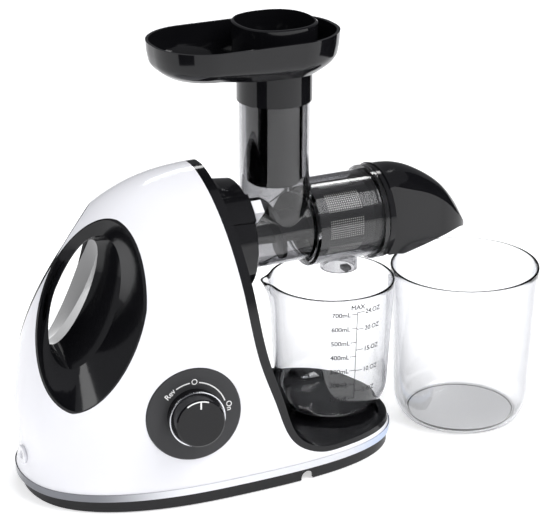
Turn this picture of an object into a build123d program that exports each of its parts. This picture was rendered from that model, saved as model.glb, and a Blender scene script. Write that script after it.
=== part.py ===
"""A horizontal cold press juicer: +X runs along the screw to the pulp nose, the knob faces -Y, +Z is up."""

from build123d import *
import os
from math import acos, atan2, copysign, cos, degrees, pi, radians, sin, sqrt, tan

os.makedirs("parts", exist_ok=True)

# ---------------------------------------------------------------- driving dimensions (mm)
# body outline: a superellipse in plan that shrinks with height
FRAME_SHIFT = (2.0, 10.4)  # brings the middle of the bounding box onto the origin
BODY_X = -70.0  # widest station of the body
BODY_REAR = 168.0  # from there to the rear, at the bottom of the shell
BODY_FRONT = 163.0  # from there to the front of the jug platform
BODY_HALF = 88.6  # half width
BODY_LOW = 17.8  # bottom edge of the white shell
BODY_TALL = 249.3  # height of the shell above that edge
REAR_POWER, FRONT_POWER = 2.38, 3.0  # squareness of the plan outline
LENGTH_POWERS = (2.87, 2.16)  # how the length shrinks with height
WIDTH_POWERS = (3.8, 1.7)  # how the width shrinks with height
SHELL_WALL = 2.8

# base and trim
FOOT_GAP = 1.0  # the skirt stands this far off the table
TRIM_LOW = 11.5
TRIM_PROUD = 0.8
BASE_FLOOR = (6.0, 9.0)
BASE_WALL = 3.0
BASE_INSET = (5.0, 2.0, 0.8)  # rear, front, sides: how far the base stands in from the shell
NOTCH_X, NOTCH_R, NOTCH_TALL = -15.0, 5.6, 8.0

# front edge of the shell: stations (x, z, normal angle above +X, panel thickness there)
FRONT_EDGE = [
    (-85.5, 290.0, 8.2, 8.6),
    (-70.4, 186.0, 8.4, 8.6),
    (-59.0, 117.5, 12.6, 8.2),
    (-43.5, 73.0, 20.2, 7.2),
    (-22.0, 33.0, 41.5, 5.8),
    (-2.0, 23.2, 80.0, 4.8),
    (32.0, 21.3, 88.5, 4.6),
    (112.0, 20.6, 89.8, 4.6),
]
PANEL_RIM = 6.5  # width of the rim round the recess
PANEL_RECESS = 3.6  # depth of the recess
PANEL_WALL = 3.0
PANEL_SEAT = 2.2  # depth of the step that sits inside the shell

# screw, strainer, drum and chute, from the drum's narrow end outwards
SCREW_Z = 197.5
DRUM_START, DRUM_STEP, DRUM_END = -60.0, 18.0, 89.0
DRUM_SMALL_R, DRUM_WALL = 31.2, 2.5
AUGER_R = DRUM_SMALL_R - DRUM_WALL - 1.1  # the screw's flight clears the drum
STRAINER_WALL = 2.2
STRAINER_R = AUGER_R + 1.6 + STRAINER_WALL
JUICE_GAP = 3.7  # between strainer and drum, where the juice runs
DRUM_LARGE_R = STRAINER_R + JUICE_GAP + DRUM_WALL
DRUM_FLANGE = (81.5, 85.5, DRUM_LARGE_R + 3.4)  # start, end, radius of the bayonet flange
CHUTE_X = -4.0
CHUTE_R, CHUTE_WALL, CHUTE_TOP = 29.6, 2.4, 336.8
CHUTE_FILLET = 2.0
OUTLET_X, OUTLET_R = 58.0, 16.2
OUTLET_LOW = SCREW_Z - DRUM_LARGE_R - 9.4
COLLAR_END, COLLAR_R, COLLAR_BORE = -41.0, DRUM_SMALL_R + 16.8, DRUM_SMALL_R + 0.5
SOCKET_R = 11.0

# release button: a block in a slot of the collar, pressed towards the screw
BUTTON_ANGLE, BUTTON_X, BUTTON_WIDE = 45.0, (-66.0, -41.5), 25.0
BUTTON_FLOOR, BUTTON_TOP = COLLAR_R - 11.0, COLLAR_R + 4.0  # floor of its slot, and its top
BUTTON_GAP = 4.0  # room under the button
SPRING_R, SPRING_TALL, SPRING_WIRE = 2.4, 7.0, 0.45

# pulp nose: stations (x, crown height, side top, side bottom, half width)
NOSE = [
    (91.0, 239.5, 227.5, 166.0, 30.0),
    (101.0, 238.5, 226.2, 166.5, 29.5),
    (117.0, 236.0, 221.0, 169.5, 28.0),
    (132.0, 228.5, 214.5, 172.5, 26.3),
    (147.0, 217.5, 204.5, 175.5, 24.5),
    (163.0, 202.0, 190.5, 177.0, 22.5),
    (175.0, 186.5, 179.5, 173.5, 21.2),
    (183.0, 174.5, 171.5, 168.0, 20.0),
]
CAP_X, CAP_R, CAP_WALL = DRUM_END + 0.5, DRUM_FLANGE[2], 2.2
CAP_SPIGOT_R, CAP_BOSS_R = DRUM_LARGE_R - DRUM_WALL - 0.5, 8.0
LUG_X, LUG_WIDE = (-40.7, -32.0), 12.0

# feed tray and pusher
TRAY_RIM_Z, TRAY_FLOOR_Z = 369.5, 337.0
TRAY_LENGTH, TRAY_WIDTH, TRAY_SHIFT = 158.0, 96.0, -30.0  # shift of its middle from the chute
TRAY_CORNER, TRAY_WALL, TRAY_ROUND = 44.0, 2.4, 14.0
SLEEVE_LOW, SLEEVE_WALL = CHUTE_TOP - 25.3, 1.7
CHUTE_FIT = 0.3  # radial gap between chute and sleeve
PUSHER_LOW, PUSHER_RIM_Z = 240.0, TRAY_RIM_Z + 8.5
PUSHER_R, PUSHER_WALL = CHUTE_R - CHUTE_WALL - 2.8, 2.2
PUSHER_RIM_R = PUSHER_R + 7.6

# jug and cup
JUG_X, JUG_R, JUG_FOOT_R, JUG_RIM_Z = 51.0, 55.2, 40.0, 142.2
PAD_R, PAD_Z, PAD_TALL = JUG_FOOT_R + 1.0, 26.3, 4.5
CUP_R, CUP_FOOT_R, CUP_RIM_Z = 65.6, 50.0, 142.0
CUP_ASIDE, CUP_CLEAR = 24.0, 1.58  # how far it stands towards -Y, and its gap to the jug
CUP_X = JUG_X + sqrt((JUG_R + CUP_R + CUP_CLEAR) ** 2 - CUP_ASIDE**2)
GLASS_WALL, CORNER_R = 2.2, 11.5
LIP_ANGLE, LIP_REACH, LIP_TALL = 161.0, JUG_R + 7.3, 26.0

# dial and knob
DIAL_X, DIAL_Z, DIAL_R = -118.4, 83.5, 40.0
DIAL_TURN, DIAL_TILT = 8.0, 3.3  # plate turned towards the rear, and leaning back
DIAL_DEEP, DIAL_THICK = BODY_HALF - 2.0, 4.0  # distance of its face from the middle plane
DIAL_FIT = 0.3
KNOB_R, KNOB_FACE_R, KNOB_TALL, KNOB_RING_AT, KNOB_RING_TALL = 23.2, 20.4, 21.0, 10.0, 1.2
STEM_R, SWITCH_SIDE, SWITCH_DEEP = 3.0, 30.0, 24.0

# carrying handle: ovals of its right half, each with its centre, outward normal,
# half length, half width and forward lean in degrees
HANDLE_WAIST = ((-188.0, 0.0, 171.0), (0.0, -1.0, 0.0), 47.0, 14.5, 25.0)
HANDLE_THROAT = ((-184.5, -20.4, 168.9), (-0.402, -0.864, 0.302), 56.0, 26.0, 16.6)
HANDLE_RIM = ((-185.6, -38.9, 164.3), (-0.682, -0.629, 0.372), 78.2, 44.5, 2.5)
LINER_WALL = 2.4

# fixings
REAR_X, FRONT_X = BODY_X - BODY_REAR, BODY_X + BODY_FRONT
SHELL_BOSSES = [
    (x, side * y)
    for x, y in ((REAR_X + 50, BODY_HALF - 38.6), (BODY_X - 25, BODY_HALF - 15.6))
    for side in (-1, 1)
]
PANEL_BOSSES = [(FRONT_X - 31, side * (BODY_HALF - 44.6)) for side in (-1, 1)]
BOSS_R, BOSS_TALL, SCREW_R = 4.5, 30.0, 1.6
FOOT_R = 8.0
FEET = [
    (x, side * y)
    for x, y in ((REAR_X + 48, BODY_HALF - 60.6), (FRONT_X - 57, BODY_HALF - 28.6))
    for side in (-1, 1)
]
FIT = 0.3  # gap between pieces that slide on or past one another
CORD_Z, CORD_HOLE_R = 34.0, 5.5

# gear train: module and teeth of the two stages, and the sideways place of the lay shaft
STAGE_ONE, STAGE_TWO = (1.5, 12, 48), (2.0, 12, 48)
BACKLASH = 0.25
LAY_Y = 10.0
OUT_STAGE = STAGE_TWO[0] * (STAGE_TWO[1] + STAGE_TWO[2]) / 2
IN_STAGE = STAGE_ONE[0] * (STAGE_ONE[1] + STAGE_ONE[2]) / 2
LAY_Z = SCREW_Z - sqrt(OUT_STAGE**2 - LAY_Y**2)
MOTOR_Z = LAY_Z - sqrt(IN_STAGE**2 - LAY_Y**2)
SHAFT_R, LAY_SHAFT_R, MOTOR_SHAFT_R = 7.0, 4.0, 4.0
CASE_BACK, CASE_FRONT = (-113.0, -110.0), (-87.0, -84.0)
CASE_WALL, GEAR_ROOM = 3.0, 3.0
OUT_GEAR_X, OUT_PINION_END = (-99.0, -89.0), -88.8
LAY_GEAR_X, MOTOR_PINION_X = (-107.5, -101.0), (-108.3, -100.6)
MOTOR_R, MOTOR_BACK = 34.0, -180.0
HEX_FLATS, HEX_FIT = 10.0, 0.15

PRESSURE_ANGLE = 25.0
RUN_FIT, BEARING_TALL = 0.08, 5.0  # radial gap of a shaft in its bearing, and its wall
CASE_ROUNDS = [
    (0, SCREW_Z, STAGE_TWO[0] * (STAGE_TWO[2] / 2 + 1) + GEAR_ROOM + 0.5),
    (LAY_Y, LAY_Z, STAGE_ONE[0] * (STAGE_ONE[2] / 2 + 1) + GEAR_ROOM),
    (0, MOTOR_Z, MOTOR_R + 1.0),
]
CASE_EARS = [(-57, 190), (57, 190), (-44, 125), (55, 138), (-33, 78), (33, 78)]
SHAFTS = [((0, SCREW_Z), SHAFT_R), ((LAY_Y, LAY_Z), LAY_SHAFT_R), ((0, MOTOR_Z), MOTOR_SHAFT_R)]
SOCKET_X = (-83.0, -64.0)
ROTOR_R, FAN_R, FAN_ROOM = MOTOR_R - 8.0, MOTOR_R - 6.0, 16.0

# auger and strainer along the screw
NECK_R, TIP_R, SEAL_R = 8.0, 4.0, 13.0
AUGER_X = (DRUM_START + 4.0, DRUM_END - 3.0)
AUGER_CORE, AUGER_PITCH = (11.0, 18.0), 34.0
STRAINER_X = (DRUM_STEP + 5.0, DRUM_END - 7.0)
WINDOWS, WINDOW_X, WINDOW_SPAN = 8, (34.0, 66.0), 32.0  # count, extent along X, degrees

def save(part, name):
    """Move a finished piece into the frame of the whole, label it and write it."""
    placed = part.moved(Location((FRAME_SHIFT[0], FRAME_SHIFT[1], 0)))
    placed.label = name
    export_step(placed, f"parts/{name}.step")
    print(f"{name}: {len(placed.solids())} solids, {placed.volume / 1000:.2f} cm3")


# ---------------------------------------------------------------- body form
def plan_outline(rear, front, half, count=26):
    """|x/length|^n + |y/half|^n = 1, with its own length and power each side of BODY_X."""
    points = []
    for k in range(count):
        c, s = cos(2 * pi * (k + 0.5) / count), sin(2 * pi * (k + 0.5) / count)
        length, power = (front, FRONT_POWER) if c > 0 else (rear, REAR_POWER)
        x = BODY_X + copysign(length * abs(c) ** (2 / power), c)
        points.append((x, copysign(half * abs(s) ** (2 / power), s)))
    with BuildLine() as line:
        Spline(*points, periodic=True)
    return line.line


def shrink(level, powers):
    """Share of the bottom size that is left at a level from 0, the bottom, to 1, the crest."""
    return (1 - level ** powers[0]) ** (1 / powers[1])


def body_form(inset=0.0):
    """The body's outer form, or the same form set in by a wall."""
    tall = BODY_TALL - inset
    with BuildPart() as form:
        for level in (0.0, 0.2, 0.4, 0.56, 0.7, 0.81, 0.9, 0.955, 0.985, 0.998):
            long_share, wide_share = shrink(level, LENGTH_POWERS), shrink(level, WIDTH_POWERS)
            with BuildSketch(Plane.XY.offset(BODY_LOW + level * tall)):
                with BuildLine():
                    add(plan_outline(
                        (BODY_REAR - inset) * long_share,
                        (BODY_FRONT - inset) * long_share,
                        (BODY_HALF - inset) * wide_share,
                    ))
                make_face()
        loft()
    return form.part


def ahead_of_edge(share=0.0, deeper=0.0):
    """Everything in front of and above the front edge, as a solid right across the body."""
    moved = [
        (x + (share * t - deeper) * cos(radians(a)), z + (share * t - deeper) * sin(radians(a)))
        for x, z, a, t in FRONT_EDGE
    ]
    with BuildPart() as region:
        with BuildSketch(Plane.XZ):
            with BuildLine():
                Line(moved[0], moved[1])
                start = (moved[1][0] - moved[0][0], moved[1][1] - moved[0][1])
                Spline(*moved[1:-1], tangents=[start, (1, -0.02)])
                Line(moved[-2], moved[-1])
                Polyline(moved[-1], (200, moved[-1][1]), (200, 320), (moved[0][0], 320), moved[0])
            make_face()
        extrude(amount=120, both=True)
    return region.part


body = body_form()
room = body_form(SHELL_WALL)  # hollow of the shell
ahead = ahead_of_edge()
panel_front = ahead_of_edge(1.0)
panel_floor = ahead_of_edge(1.0, PANEL_RECESS)


def overlap(*parts):
    """What the given parts have in common."""
    with BuildPart() as common:
        add(parts[0])
        for other in parts[1:]:
            add(other, mode=Mode.INTERSECT)
    return common.part


def ring_wall(inset, wall, low, high):
    """A band that follows the body outline: insets are (rear, front, sides)."""
    rear, front, half = inset
    with BuildPart() as band:
        with BuildSketch(Plane.XY.offset(low)):
            with BuildLine():
                add(plan_outline(BODY_REAR - rear, BODY_FRONT - front, BODY_HALF - half))
            make_face()
            if wall:
                with BuildLine():
                    add(plan_outline(
                        BODY_REAR - rear - wall, BODY_FRONT - front - wall, BODY_HALF - half - wall
                    ))
                make_face(mode=Mode.SUBTRACT)
        extrude(amount=high - low)
    return band.part


def disc(plane, radius, amount, bore=0.0, both=False):
    """A disc, or a ring where it has a bore, raised from a plane."""
    with BuildPart() as round_piece:
        with BuildSketch(plane):
            Circle(radius)
            if bore:
                Circle(bore, mode=Mode.SUBTRACT)
        extrude(amount=amount, both=both)
    return round_piece.part


def across(x, y=0.0, z=SCREW_Z):
    """Plane square to the screw, with its origin on a shaft."""
    return Plane(origin=(x, y, z), x_dir=(0, 1, 0), z_dir=(1, 0, 0))


def turned(plane, *profile):
    """Revolve a closed profile of (radius, height) points about a plane's normal."""
    with BuildPart() as piece:
        with BuildSketch(Plane(plane.origin, x_dir=plane.x_dir, z_dir=-plane.y_dir)):
            with BuildLine():
                Polyline(*profile, close=True)
            make_face()
        revolve(axis=Axis(plane.origin, plane.z_dir))
    return piece.part


def block(low, high):
    """A box between two corners."""
    with BuildPart() as box:
        with BuildSketch(Plane.XY.offset(low[2])):
            with Locations(((low[0] + high[0]) / 2, (low[1] + high[1]) / 2)):
                Rectangle(high[0] - low[0], high[1] - low[1])
        extrude(amount=high[2] - low[2])
    return box.part


# ---------------------------------------------------------------- carrying handle
def handle_form(extra=0.0):
    """The hollow of the right half of the handle: a throat, then a dish out to the rim."""
    with BuildPart() as form:
        for pair in ((HANDLE_WAIST, HANDLE_THROAT), (HANDLE_THROAT, HANDLE_RIM)):
            for centre, normal, long_r, wide_r, lean in pair:
                level = Plane(centre, x_dir=(-normal[1], normal[0], 0), z_dir=normal)
                with BuildSketch(level) as oval:
                    Ellipse(wide_r + extra, long_r + extra, rotation=-lean)
            loft()
        extrude(oval.sketch, amount=BODY_HALF)
    return form.part


right_outer = handle_form(LINER_WALL)
left_outer = mirror(right_outer, about=Plane.XZ)
with BuildPart() as handle_liner_right:
    add(right_outer)
    add(handle_form(), mode=Mode.SUBTRACT)
    add(body, mode=Mode.INTERSECT)
    add(block((-300, -120, 0), (0, 0, 300)), mode=Mode.INTERSECT)
save(handle_liner_right.part, "handle_liner_right")
save(mirror(handle_liner_right.part, about=Plane.XZ), "handle_liner_left")


# ---------------------------------------------------------------- white shell
turn, tilt = radians(DIAL_TURN), radians(DIAL_TILT)
dial_plane = Plane(
    origin=(DIAL_X, -DIAL_DEEP, DIAL_Z),
    x_dir=(cos(turn), -sin(turn), 0),
    z_dir=(-sin(turn) * cos(tilt), -cos(turn) * cos(tilt), sin(tilt)),
)
floor_top = BASE_FLOOR[1]

with BuildPart() as ribs:  # join the screw bosses to the wall
    for x, y in SHELL_BOSSES:
        out = copysign(20, y)
        add(block((x - 1, min(y, y + out), BODY_LOW), (x + 1, max(y, y + out), floor_top + BOSS_TALL)))
    add(body, mode=Mode.INTERSECT)

with BuildPart() as main_housing:
    add(body)
    add(room, mode=Mode.SUBTRACT)
    add(ribs.part)
    for x, y in SHELL_BOSSES:
        add(disc(Plane((x, y, floor_top)), BOSS_R, BOSS_TALL))
    for x, y in SHELL_BOSSES:
        add(disc(Plane((x, y, floor_top)), SCREW_R, BOSS_TALL - 4), mode=Mode.SUBTRACT)
    add(ahead, mode=Mode.SUBTRACT)
    add(right_outer, mode=Mode.SUBTRACT)
    add(left_outer, mode=Mode.SUBTRACT)
    add(disc(dial_plane, DIAL_R + DIAL_FIT, 20, both=True), mode=Mode.SUBTRACT)
    add(disc(across(-300, z=CORD_Z), CORD_HOLE_R, 100), mode=Mode.SUBTRACT)
save(main_housing.part, "main_housing")


# ---------------------------------------------------------------- front panel and base
boss_top = PAD_Z - 6  # inside the platform's floor
with BuildPart() as panel_hollow:
    add(body_form(PANEL_RIM + 1))
    add(ahead_of_edge(1.0, PANEL_RECESS + PANEL_WALL), mode=Mode.SUBTRACT)
with BuildPart() as front_panel:
    add(overlap(body, ahead))
    add(overlap(body_form(SHELL_WALL + FIT), ahead_of_edge(deeper=PANEL_SEAT)))
    add(panel_front, mode=Mode.SUBTRACT)
    add(overlap(body_form(PANEL_RIM), panel_floor), mode=Mode.SUBTRACT)
    add(panel_hollow.part, mode=Mode.SUBTRACT)
    add(disc(Plane((JUG_X, 0, PAD_Z - PAD_TALL)), PAD_R, PAD_TALL))
    for x, y in PANEL_BOSSES:
        add(disc(Plane((x, y, floor_top)), BOSS_R, boss_top - floor_top))
    for x, y in PANEL_BOSSES:
        add(disc(Plane((x, y, floor_top)), SCREW_R, boss_top - 1 - floor_top), mode=Mode.SUBTRACT)
    add(disc(across(-100), SOCKET_R + 2, 60), mode=Mode.SUBTRACT)
save(front_panel.part, "front_panel")

# the button's corner of the collar: u runs outwards from the screw, v round it
button_u = (0, -cos(radians(BUTTON_ANGLE)), sin(radians(BUTTON_ANGLE)))


def button_block(x, length, width, inner, outer):
    """A block on the button's radius, from one distance off the screw to another."""
    with BuildPart() as piece:
        with BuildSketch(Plane(origin=(x, 0, SCREW_Z), x_dir=button_u, z_dir=(1, 0, 0))):
            with Locations(((inner + outer) / 2, 0)):
                Rectangle(outer - inner, width)
        extrude(amount=length)
    return piece.part


with BuildPart() as drive_collar:
    add(turned(
        across(0), (COLLAR_BORE, -90), (COLLAR_BORE, COLLAR_END), (COLLAR_R - 1, COLLAR_END),
        (COLLAR_R, COLLAR_END - 1), (COLLAR_R + 2, -60), (COLLAR_R + 4, -66), (COLLAR_R + 8, -72),
        (COLLAR_R + 8, -90),
    ))
    add(panel_floor, mode=Mode.INTERSECT)
    slot = button_block(
        BUTTON_X[0] - FIT, 60, BUTTON_WIDE + 2 * FIT, BUTTON_FLOOR, COLLAR_R + 20
    )
    add(slot, mode=Mode.SUBTRACT)
save(drive_collar.part, "drive_collar")

with BuildPart() as release_button:
    add(button_block(
        BUTTON_X[0], BUTTON_X[1] - BUTTON_X[0], BUTTON_WIDE, BUTTON_FLOOR + BUTTON_GAP, BUTTON_TOP
    ))
    add(disc(across(BUTTON_X[0] - 1), BUTTON_TOP - 0.6, 60), mode=Mode.INTERSECT)
    fillet(edges().filter_by(Axis.X).group_by(Axis.Z)[-1], 1.0)
    spring_x = sum(BUTTON_X) / 2
    spring_foot = Plane(
        origin=(spring_x, BUTTON_FLOOR * button_u[1], SCREW_Z + BUTTON_FLOOR * button_u[2]),
        x_dir=(1, 0, 0), z_dir=button_u,
    )
    add(disc(spring_foot, SPRING_R + 1.2, SPRING_TALL + BUTTON_GAP), mode=Mode.SUBTRACT)
save(release_button.part, "release_button")

with BuildPart() as button_spring:
    with BuildLine():
        coil = Helix(
            pitch=SPRING_TALL / 5, height=SPRING_TALL - 1, radius=SPRING_R,
            center=spring_foot.offset(0.5).origin, direction=button_u,
        )
    with BuildSketch(Plane(origin=coil @ 0, z_dir=coil % 0)):
        Circle(SPRING_WIRE)
    sweep(path=coil)
save(button_spring.part, "button_spring")

save(ring_wall((-TRIM_PROUD,) * 3, TRIM_PROUD + SHELL_WALL, TRIM_LOW, BODY_LOW), "chrome_trim")

with BuildPart() as base_plate:
    add(ring_wall(BASE_INSET, 0, *BASE_FLOOR))
    add(ring_wall(BASE_INSET, BASE_WALL, FOOT_GAP, TRIM_LOW))
    add(ring_wall((0.4,) * 3, 8, TRIM_LOW - 1.5, TRIM_LOW))
    add(ring_wall((SHELL_WALL + FIT,) * 3, 2, TRIM_LOW - 1, BODY_LOW - FIT))
    with BuildSketch(Plane.XZ.offset(BODY_HALF - 12)):  # cable notch in the skirt
        with Locations((NOTCH_X, FOOT_GAP - 0.5)):
            SlotCenterToCenter(2 * (NOTCH_TALL - NOTCH_R), 2 * NOTCH_R, rotation=90)
    extrude(amount=30, mode=Mode.SUBTRACT)
    with BuildSketch(Plane.XY):  # air inlet under the motor
        with Locations((-150, 0)):
            with GridLocations(7, 44, 8, 2):
                SlotOverall(34, 3, rotation=90)
        with Locations(*SHELL_BOSSES, *PANEL_BOSSES):
            Circle(SCREW_R + 0.2)
    extrude(amount=20, mode=Mode.SUBTRACT)
save(base_plate.part, "base_plate")

with BuildPart() as rubber_feet:
    for x, y in FEET:
        add(turned(
            Plane((x, y, 0)), (3, 0), (FOOT_R - 1, 0), (FOOT_R, 1.5), (FOOT_R - 0.6, BASE_FLOOR[0]),
            (0, BASE_FLOOR[0]), (0, 2), (3, 2),
        ))
save(rubber_feet.part, "rubber_feet")

with BuildPart() as base_screws:
    for x, y in SHELL_BOSSES + PANEL_BOSSES:
        add(turned(
            Plane((x, y, BASE_FLOOR[0])), (0, -2), (3, -2), (3, 0), (SCREW_R - 0.1, 0),
            (SCREW_R - 0.1, 10), (0, 11),
        ))
save(base_screws.part, "base_screws")

with BuildPart() as cord_bushing:
    add(turned(
        across(REAR_X, z=CORD_Z), (3.2, -2.5), (6, -2.5), (8, -0.5), (8, 0.8),
        (CORD_HOLE_R - 0.1, 0.8), (CORD_HOLE_R - 0.1, 12), (3.2, 12),
    ))
save(cord_bushing.part, "cord_bushing")

# ---------------------------------------------------------------- dial, switch and knob
plate_back = dial_plane.offset(-DIAL_THICK)
with BuildPart() as dial_plate:
    add(turned(
        plate_back, (0, 0), (DIAL_R, 0), (DIAL_R, DIAL_THICK - 1), (DIAL_R - 1, DIAL_THICK),
        (0, DIAL_THICK),
    ))
    add(disc(plate_back, STEM_R + FIT, DIAL_THICK), mode=Mode.SUBTRACT)
save(dial_plate.part, "dial_plate")

with BuildPart() as rotary_switch:
    with BuildSketch(plate_back):
        RectangleRounded(SWITCH_SIDE, SWITCH_SIDE, 3)
    extrude(amount=-SWITCH_DEEP)
    with BuildSketch(plate_back.offset(-SWITCH_DEEP)):
        with GridLocations(12, 9, 2, 2):
            Rectangle(0.8, 6)
    extrude(amount=-7)
    add(disc(plate_back, STEM_R, DIAL_THICK + KNOB_TALL - 5))
save(rotary_switch.part, "rotary_switch")

with BuildPart() as control_knob:
    ring_low, ring_high = KNOB_RING_AT, KNOB_RING_AT + KNOB_RING_TALL
    add(turned(
        dial_plane, (STEM_R + 0.1, 1.5), (STEM_R + 4, 1.5), (STEM_R + 4, KNOB_TALL - 4),
        (KNOB_R - 5, KNOB_TALL - 4), (KNOB_R - 3, FIT + 0.1), (KNOB_R - 0.7, FIT + 0.1),
        (KNOB_R - 0.4, ring_low), (KNOB_R - 1, ring_low), (KNOB_R - 1, ring_high),
        (KNOB_R - 0.6, ring_high), (KNOB_FACE_R, KNOB_TALL - 1), (KNOB_FACE_R - 1.2, KNOB_TALL),
        (0, KNOB_TALL), (0, KNOB_TALL - 4.5), (STEM_R + 0.1, KNOB_TALL - 4.5),
    ))
save(control_knob.part, "control_knob")
save(disc(dial_plane.offset(ring_low), KNOB_R + 0.2, KNOB_RING_TALL, bore=KNOB_R - 1), "knob_ring")


# ---------------------------------------------------------------- gear train
def gear(plane, module, teeth, length, phase, bore=0.0):
    """A spur gear with a tooth pointing at the phase angle; its flanks are chords of involutes."""
    pitch = module * teeth / 2
    base = pitch * cos(radians(PRESSURE_ANGLE))

    def half_tooth(radius):
        """Angle from the tooth's middle to its flank at a radius, in radians."""
        lean = acos(min(1.0, base / radius))
        at_pitch = radians(PRESSURE_ANGLE)
        return (
            (pi * module / 2 - BACKLASH) / (2 * pitch)
            + tan(at_pitch) - at_pitch - tan(lean) + lean
        )

    radii = [pitch - 1.25 * module, max(base, pitch - 0.6 * module), pitch, pitch + module]
    flank = [(r, half_tooth(max(r, base))) for r in radii]
    outline = []
    for k in range(teeth):
        middle = radians(phase) + 2 * pi * k / teeth
        for r, angle in [(r, -a) for r, a in flank] + flank[::-1]:
            outline.append((r * cos(middle + angle), r * sin(middle + angle)))
    with BuildPart() as wheel:
        with BuildSketch(plane):
            with BuildLine():
                Polyline(*outline, close=True)
            make_face()
            if bore:
                Circle(bore, mode=Mode.SUBTRACT)
        extrude(amount=length)
    return wheel.part


lay_bearing = degrees(atan2(LAY_Z - SCREW_Z, LAY_Y))  # from the output axis to the lay shaft
motor_bearing = degrees(atan2(LAY_Z - MOTOR_Z, LAY_Y))  # from the motor to the lay shaft

with BuildPart() as output_gear:
    x0, x1 = OUT_GEAR_X
    module, _, teeth = STAGE_TWO
    add(gear(across(x0), module, teeth, x1 - x0, lay_bearing + 180 / teeth, bore=SHAFT_R))
    web = teeth * module / 2 - 8
    for x in (x0, x1 - 3):  # thinned web
        add(disc(across(x), web, 3, bore=SHAFT_R + 6), mode=Mode.SUBTRACT)
    with BuildSketch(across(x0)):
        with PolarLocations((web + SHAFT_R + 6) / 2, 6):
            Circle(7)
    extrude(amount=x1 - x0, mode=Mode.SUBTRACT)
save(output_gear.part, "output_gear")

with BuildPart() as lay_gear:
    centre = (LAY_Y, LAY_Z)
    module, small, large = STAGE_ONE
    x0, x1 = LAY_GEAR_X
    toward_motor = motor_bearing + 180
    add(gear(across(x0, *centre), module, large, x1 - x0, toward_motor + 180 / large, LAY_SHAFT_R))
    add(gear(
        across(x1, *centre), STAGE_TWO[0], STAGE_TWO[1], OUT_PINION_END - x1, lay_bearing + 180,
        LAY_SHAFT_R,
    ))
save(lay_gear.part, "lay_gear")
save(disc(across(CASE_BACK[0], *centre), LAY_SHAFT_R, CASE_FRONT[1] - CASE_BACK[0]), "lay_shaft")

with BuildPart() as output_shaft:
    add(disc(across(CASE_BACK[0] + 0.5), SHAFT_R, SOCKET_X[0] + 3 - CASE_BACK[0] - 0.5))
save(output_shaft.part, "output_shaft")

with BuildPart() as drive_socket:
    add(turned(
        across(SOCKET_X[0]), (SHAFT_R, 0), (SOCKET_R, 0), (SOCKET_R, SOCKET_X[1] - SOCKET_X[0] - 1),
        (SOCKET_R - 1, SOCKET_X[1] - SOCKET_X[0]), (0, SOCKET_X[1] - SOCKET_X[0]), (0, 3), (SHAFT_R, 3),
    ))
    with BuildSketch(across(SOCKET_X[0] + 4)):
        RegularPolygon(HEX_FLATS / 2 + HEX_FIT, 6, major_radius=False)
    extrude(amount=SOCKET_X[1] - SOCKET_X[0], mode=Mode.SUBTRACT)
save(drive_socket.part, "drive_socket")


def case_plate(low, high, inset=0.0, ears=True):
    """The gearbox outline, a band round three shafts with ears for its screws, as a plate."""
    with BuildPart() as plate:
        with BuildSketch(Plane(origin=(low, 0, 0), x_dir=(0, 1, 0), z_dir=(1, 0, 0))):
            for y, z, r in CASE_ROUNDS:
                with Locations((y, z)):
                    Circle(r - inset)
            make_hull()
            if ears:
                with Locations(*CASE_EARS):
                    Circle(5)
        extrude(amount=high - low)
    return plate.part


with BuildPart() as gearbox_case:
    add(case_plate(CASE_BACK[0], CASE_FRONT[0]))
    for y in (-30, 30):  # legs
        add(block((CASE_BACK[0], y - 5, floor_top), (CASE_FRONT[0], y + 5, MOTOR_Z)))
    add(case_plate(CASE_BACK[1], CASE_FRONT[0], CASE_WALL, ears=False), mode=Mode.SUBTRACT)
    for place, radius in SHAFTS:
        add(disc(across(-120, *place), radius + BEARING_TALL, 20), mode=Mode.SUBTRACT)
    for y, z in CASE_EARS:
        add(disc(across(-100, y, z), SCREW_R, 20), mode=Mode.SUBTRACT)
save(gearbox_case.part, "gearbox_case")

with BuildPart() as gearbox_cover:
    add(case_plate(*CASE_FRONT))
    for place, radius in SHAFTS[:2]:
        add(disc(across(-90, *place), radius + BEARING_TALL, 20), mode=Mode.SUBTRACT)
    for y, z in CASE_EARS:
        add(disc(across(-90, y, z), SCREW_R + 0.2, 20), mode=Mode.SUBTRACT)
save(gearbox_cover.part, "gearbox_cover")

with BuildPart() as gearbox_screws:
    for y, z in CASE_EARS:
        add(turned(
            across(CASE_FRONT[1], y, z), (0, 2), (3, 2), (3, 0), (SCREW_R - 0.1, 0),
            (SCREW_R - 0.1, -14), (0, -15),
        ))
save(gearbox_screws.part, "gearbox_screws")

with BuildPart() as bearings:
    (output, output_r), (lay, lay_r), (motor, motor_r) = SHAFTS
    for place, radius, low, high in (
        (output, output_r, CASE_BACK[0] + 0.5, CASE_BACK[1] + 2),
        (output, output_r, CASE_FRONT[0] - 1.5, CASE_FRONT[1]),
        (lay, lay_r, CASE_BACK[0] + 0.5, CASE_BACK[1] + 2),
        (lay, lay_r, CASE_FRONT[0] - 1.5, CASE_FRONT[1]),
        (motor, motor_r, CASE_BACK[0], CASE_BACK[1]),
        (motor, motor_r, MOTOR_BACK - 4, MOTOR_BACK),
    ):
        add(disc(across(low, *place), radius + BEARING_TALL - 0.05, high - low, radius + RUN_FIT))
save(bearings.part, "bearings")

# ---------------------------------------------------------------- motor
motor_at = (0, MOTOR_Z)


def motor_ring(low, high, outer, inner=0.0):
    return disc(across(low, *motor_at), outer, high - low, inner)


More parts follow.
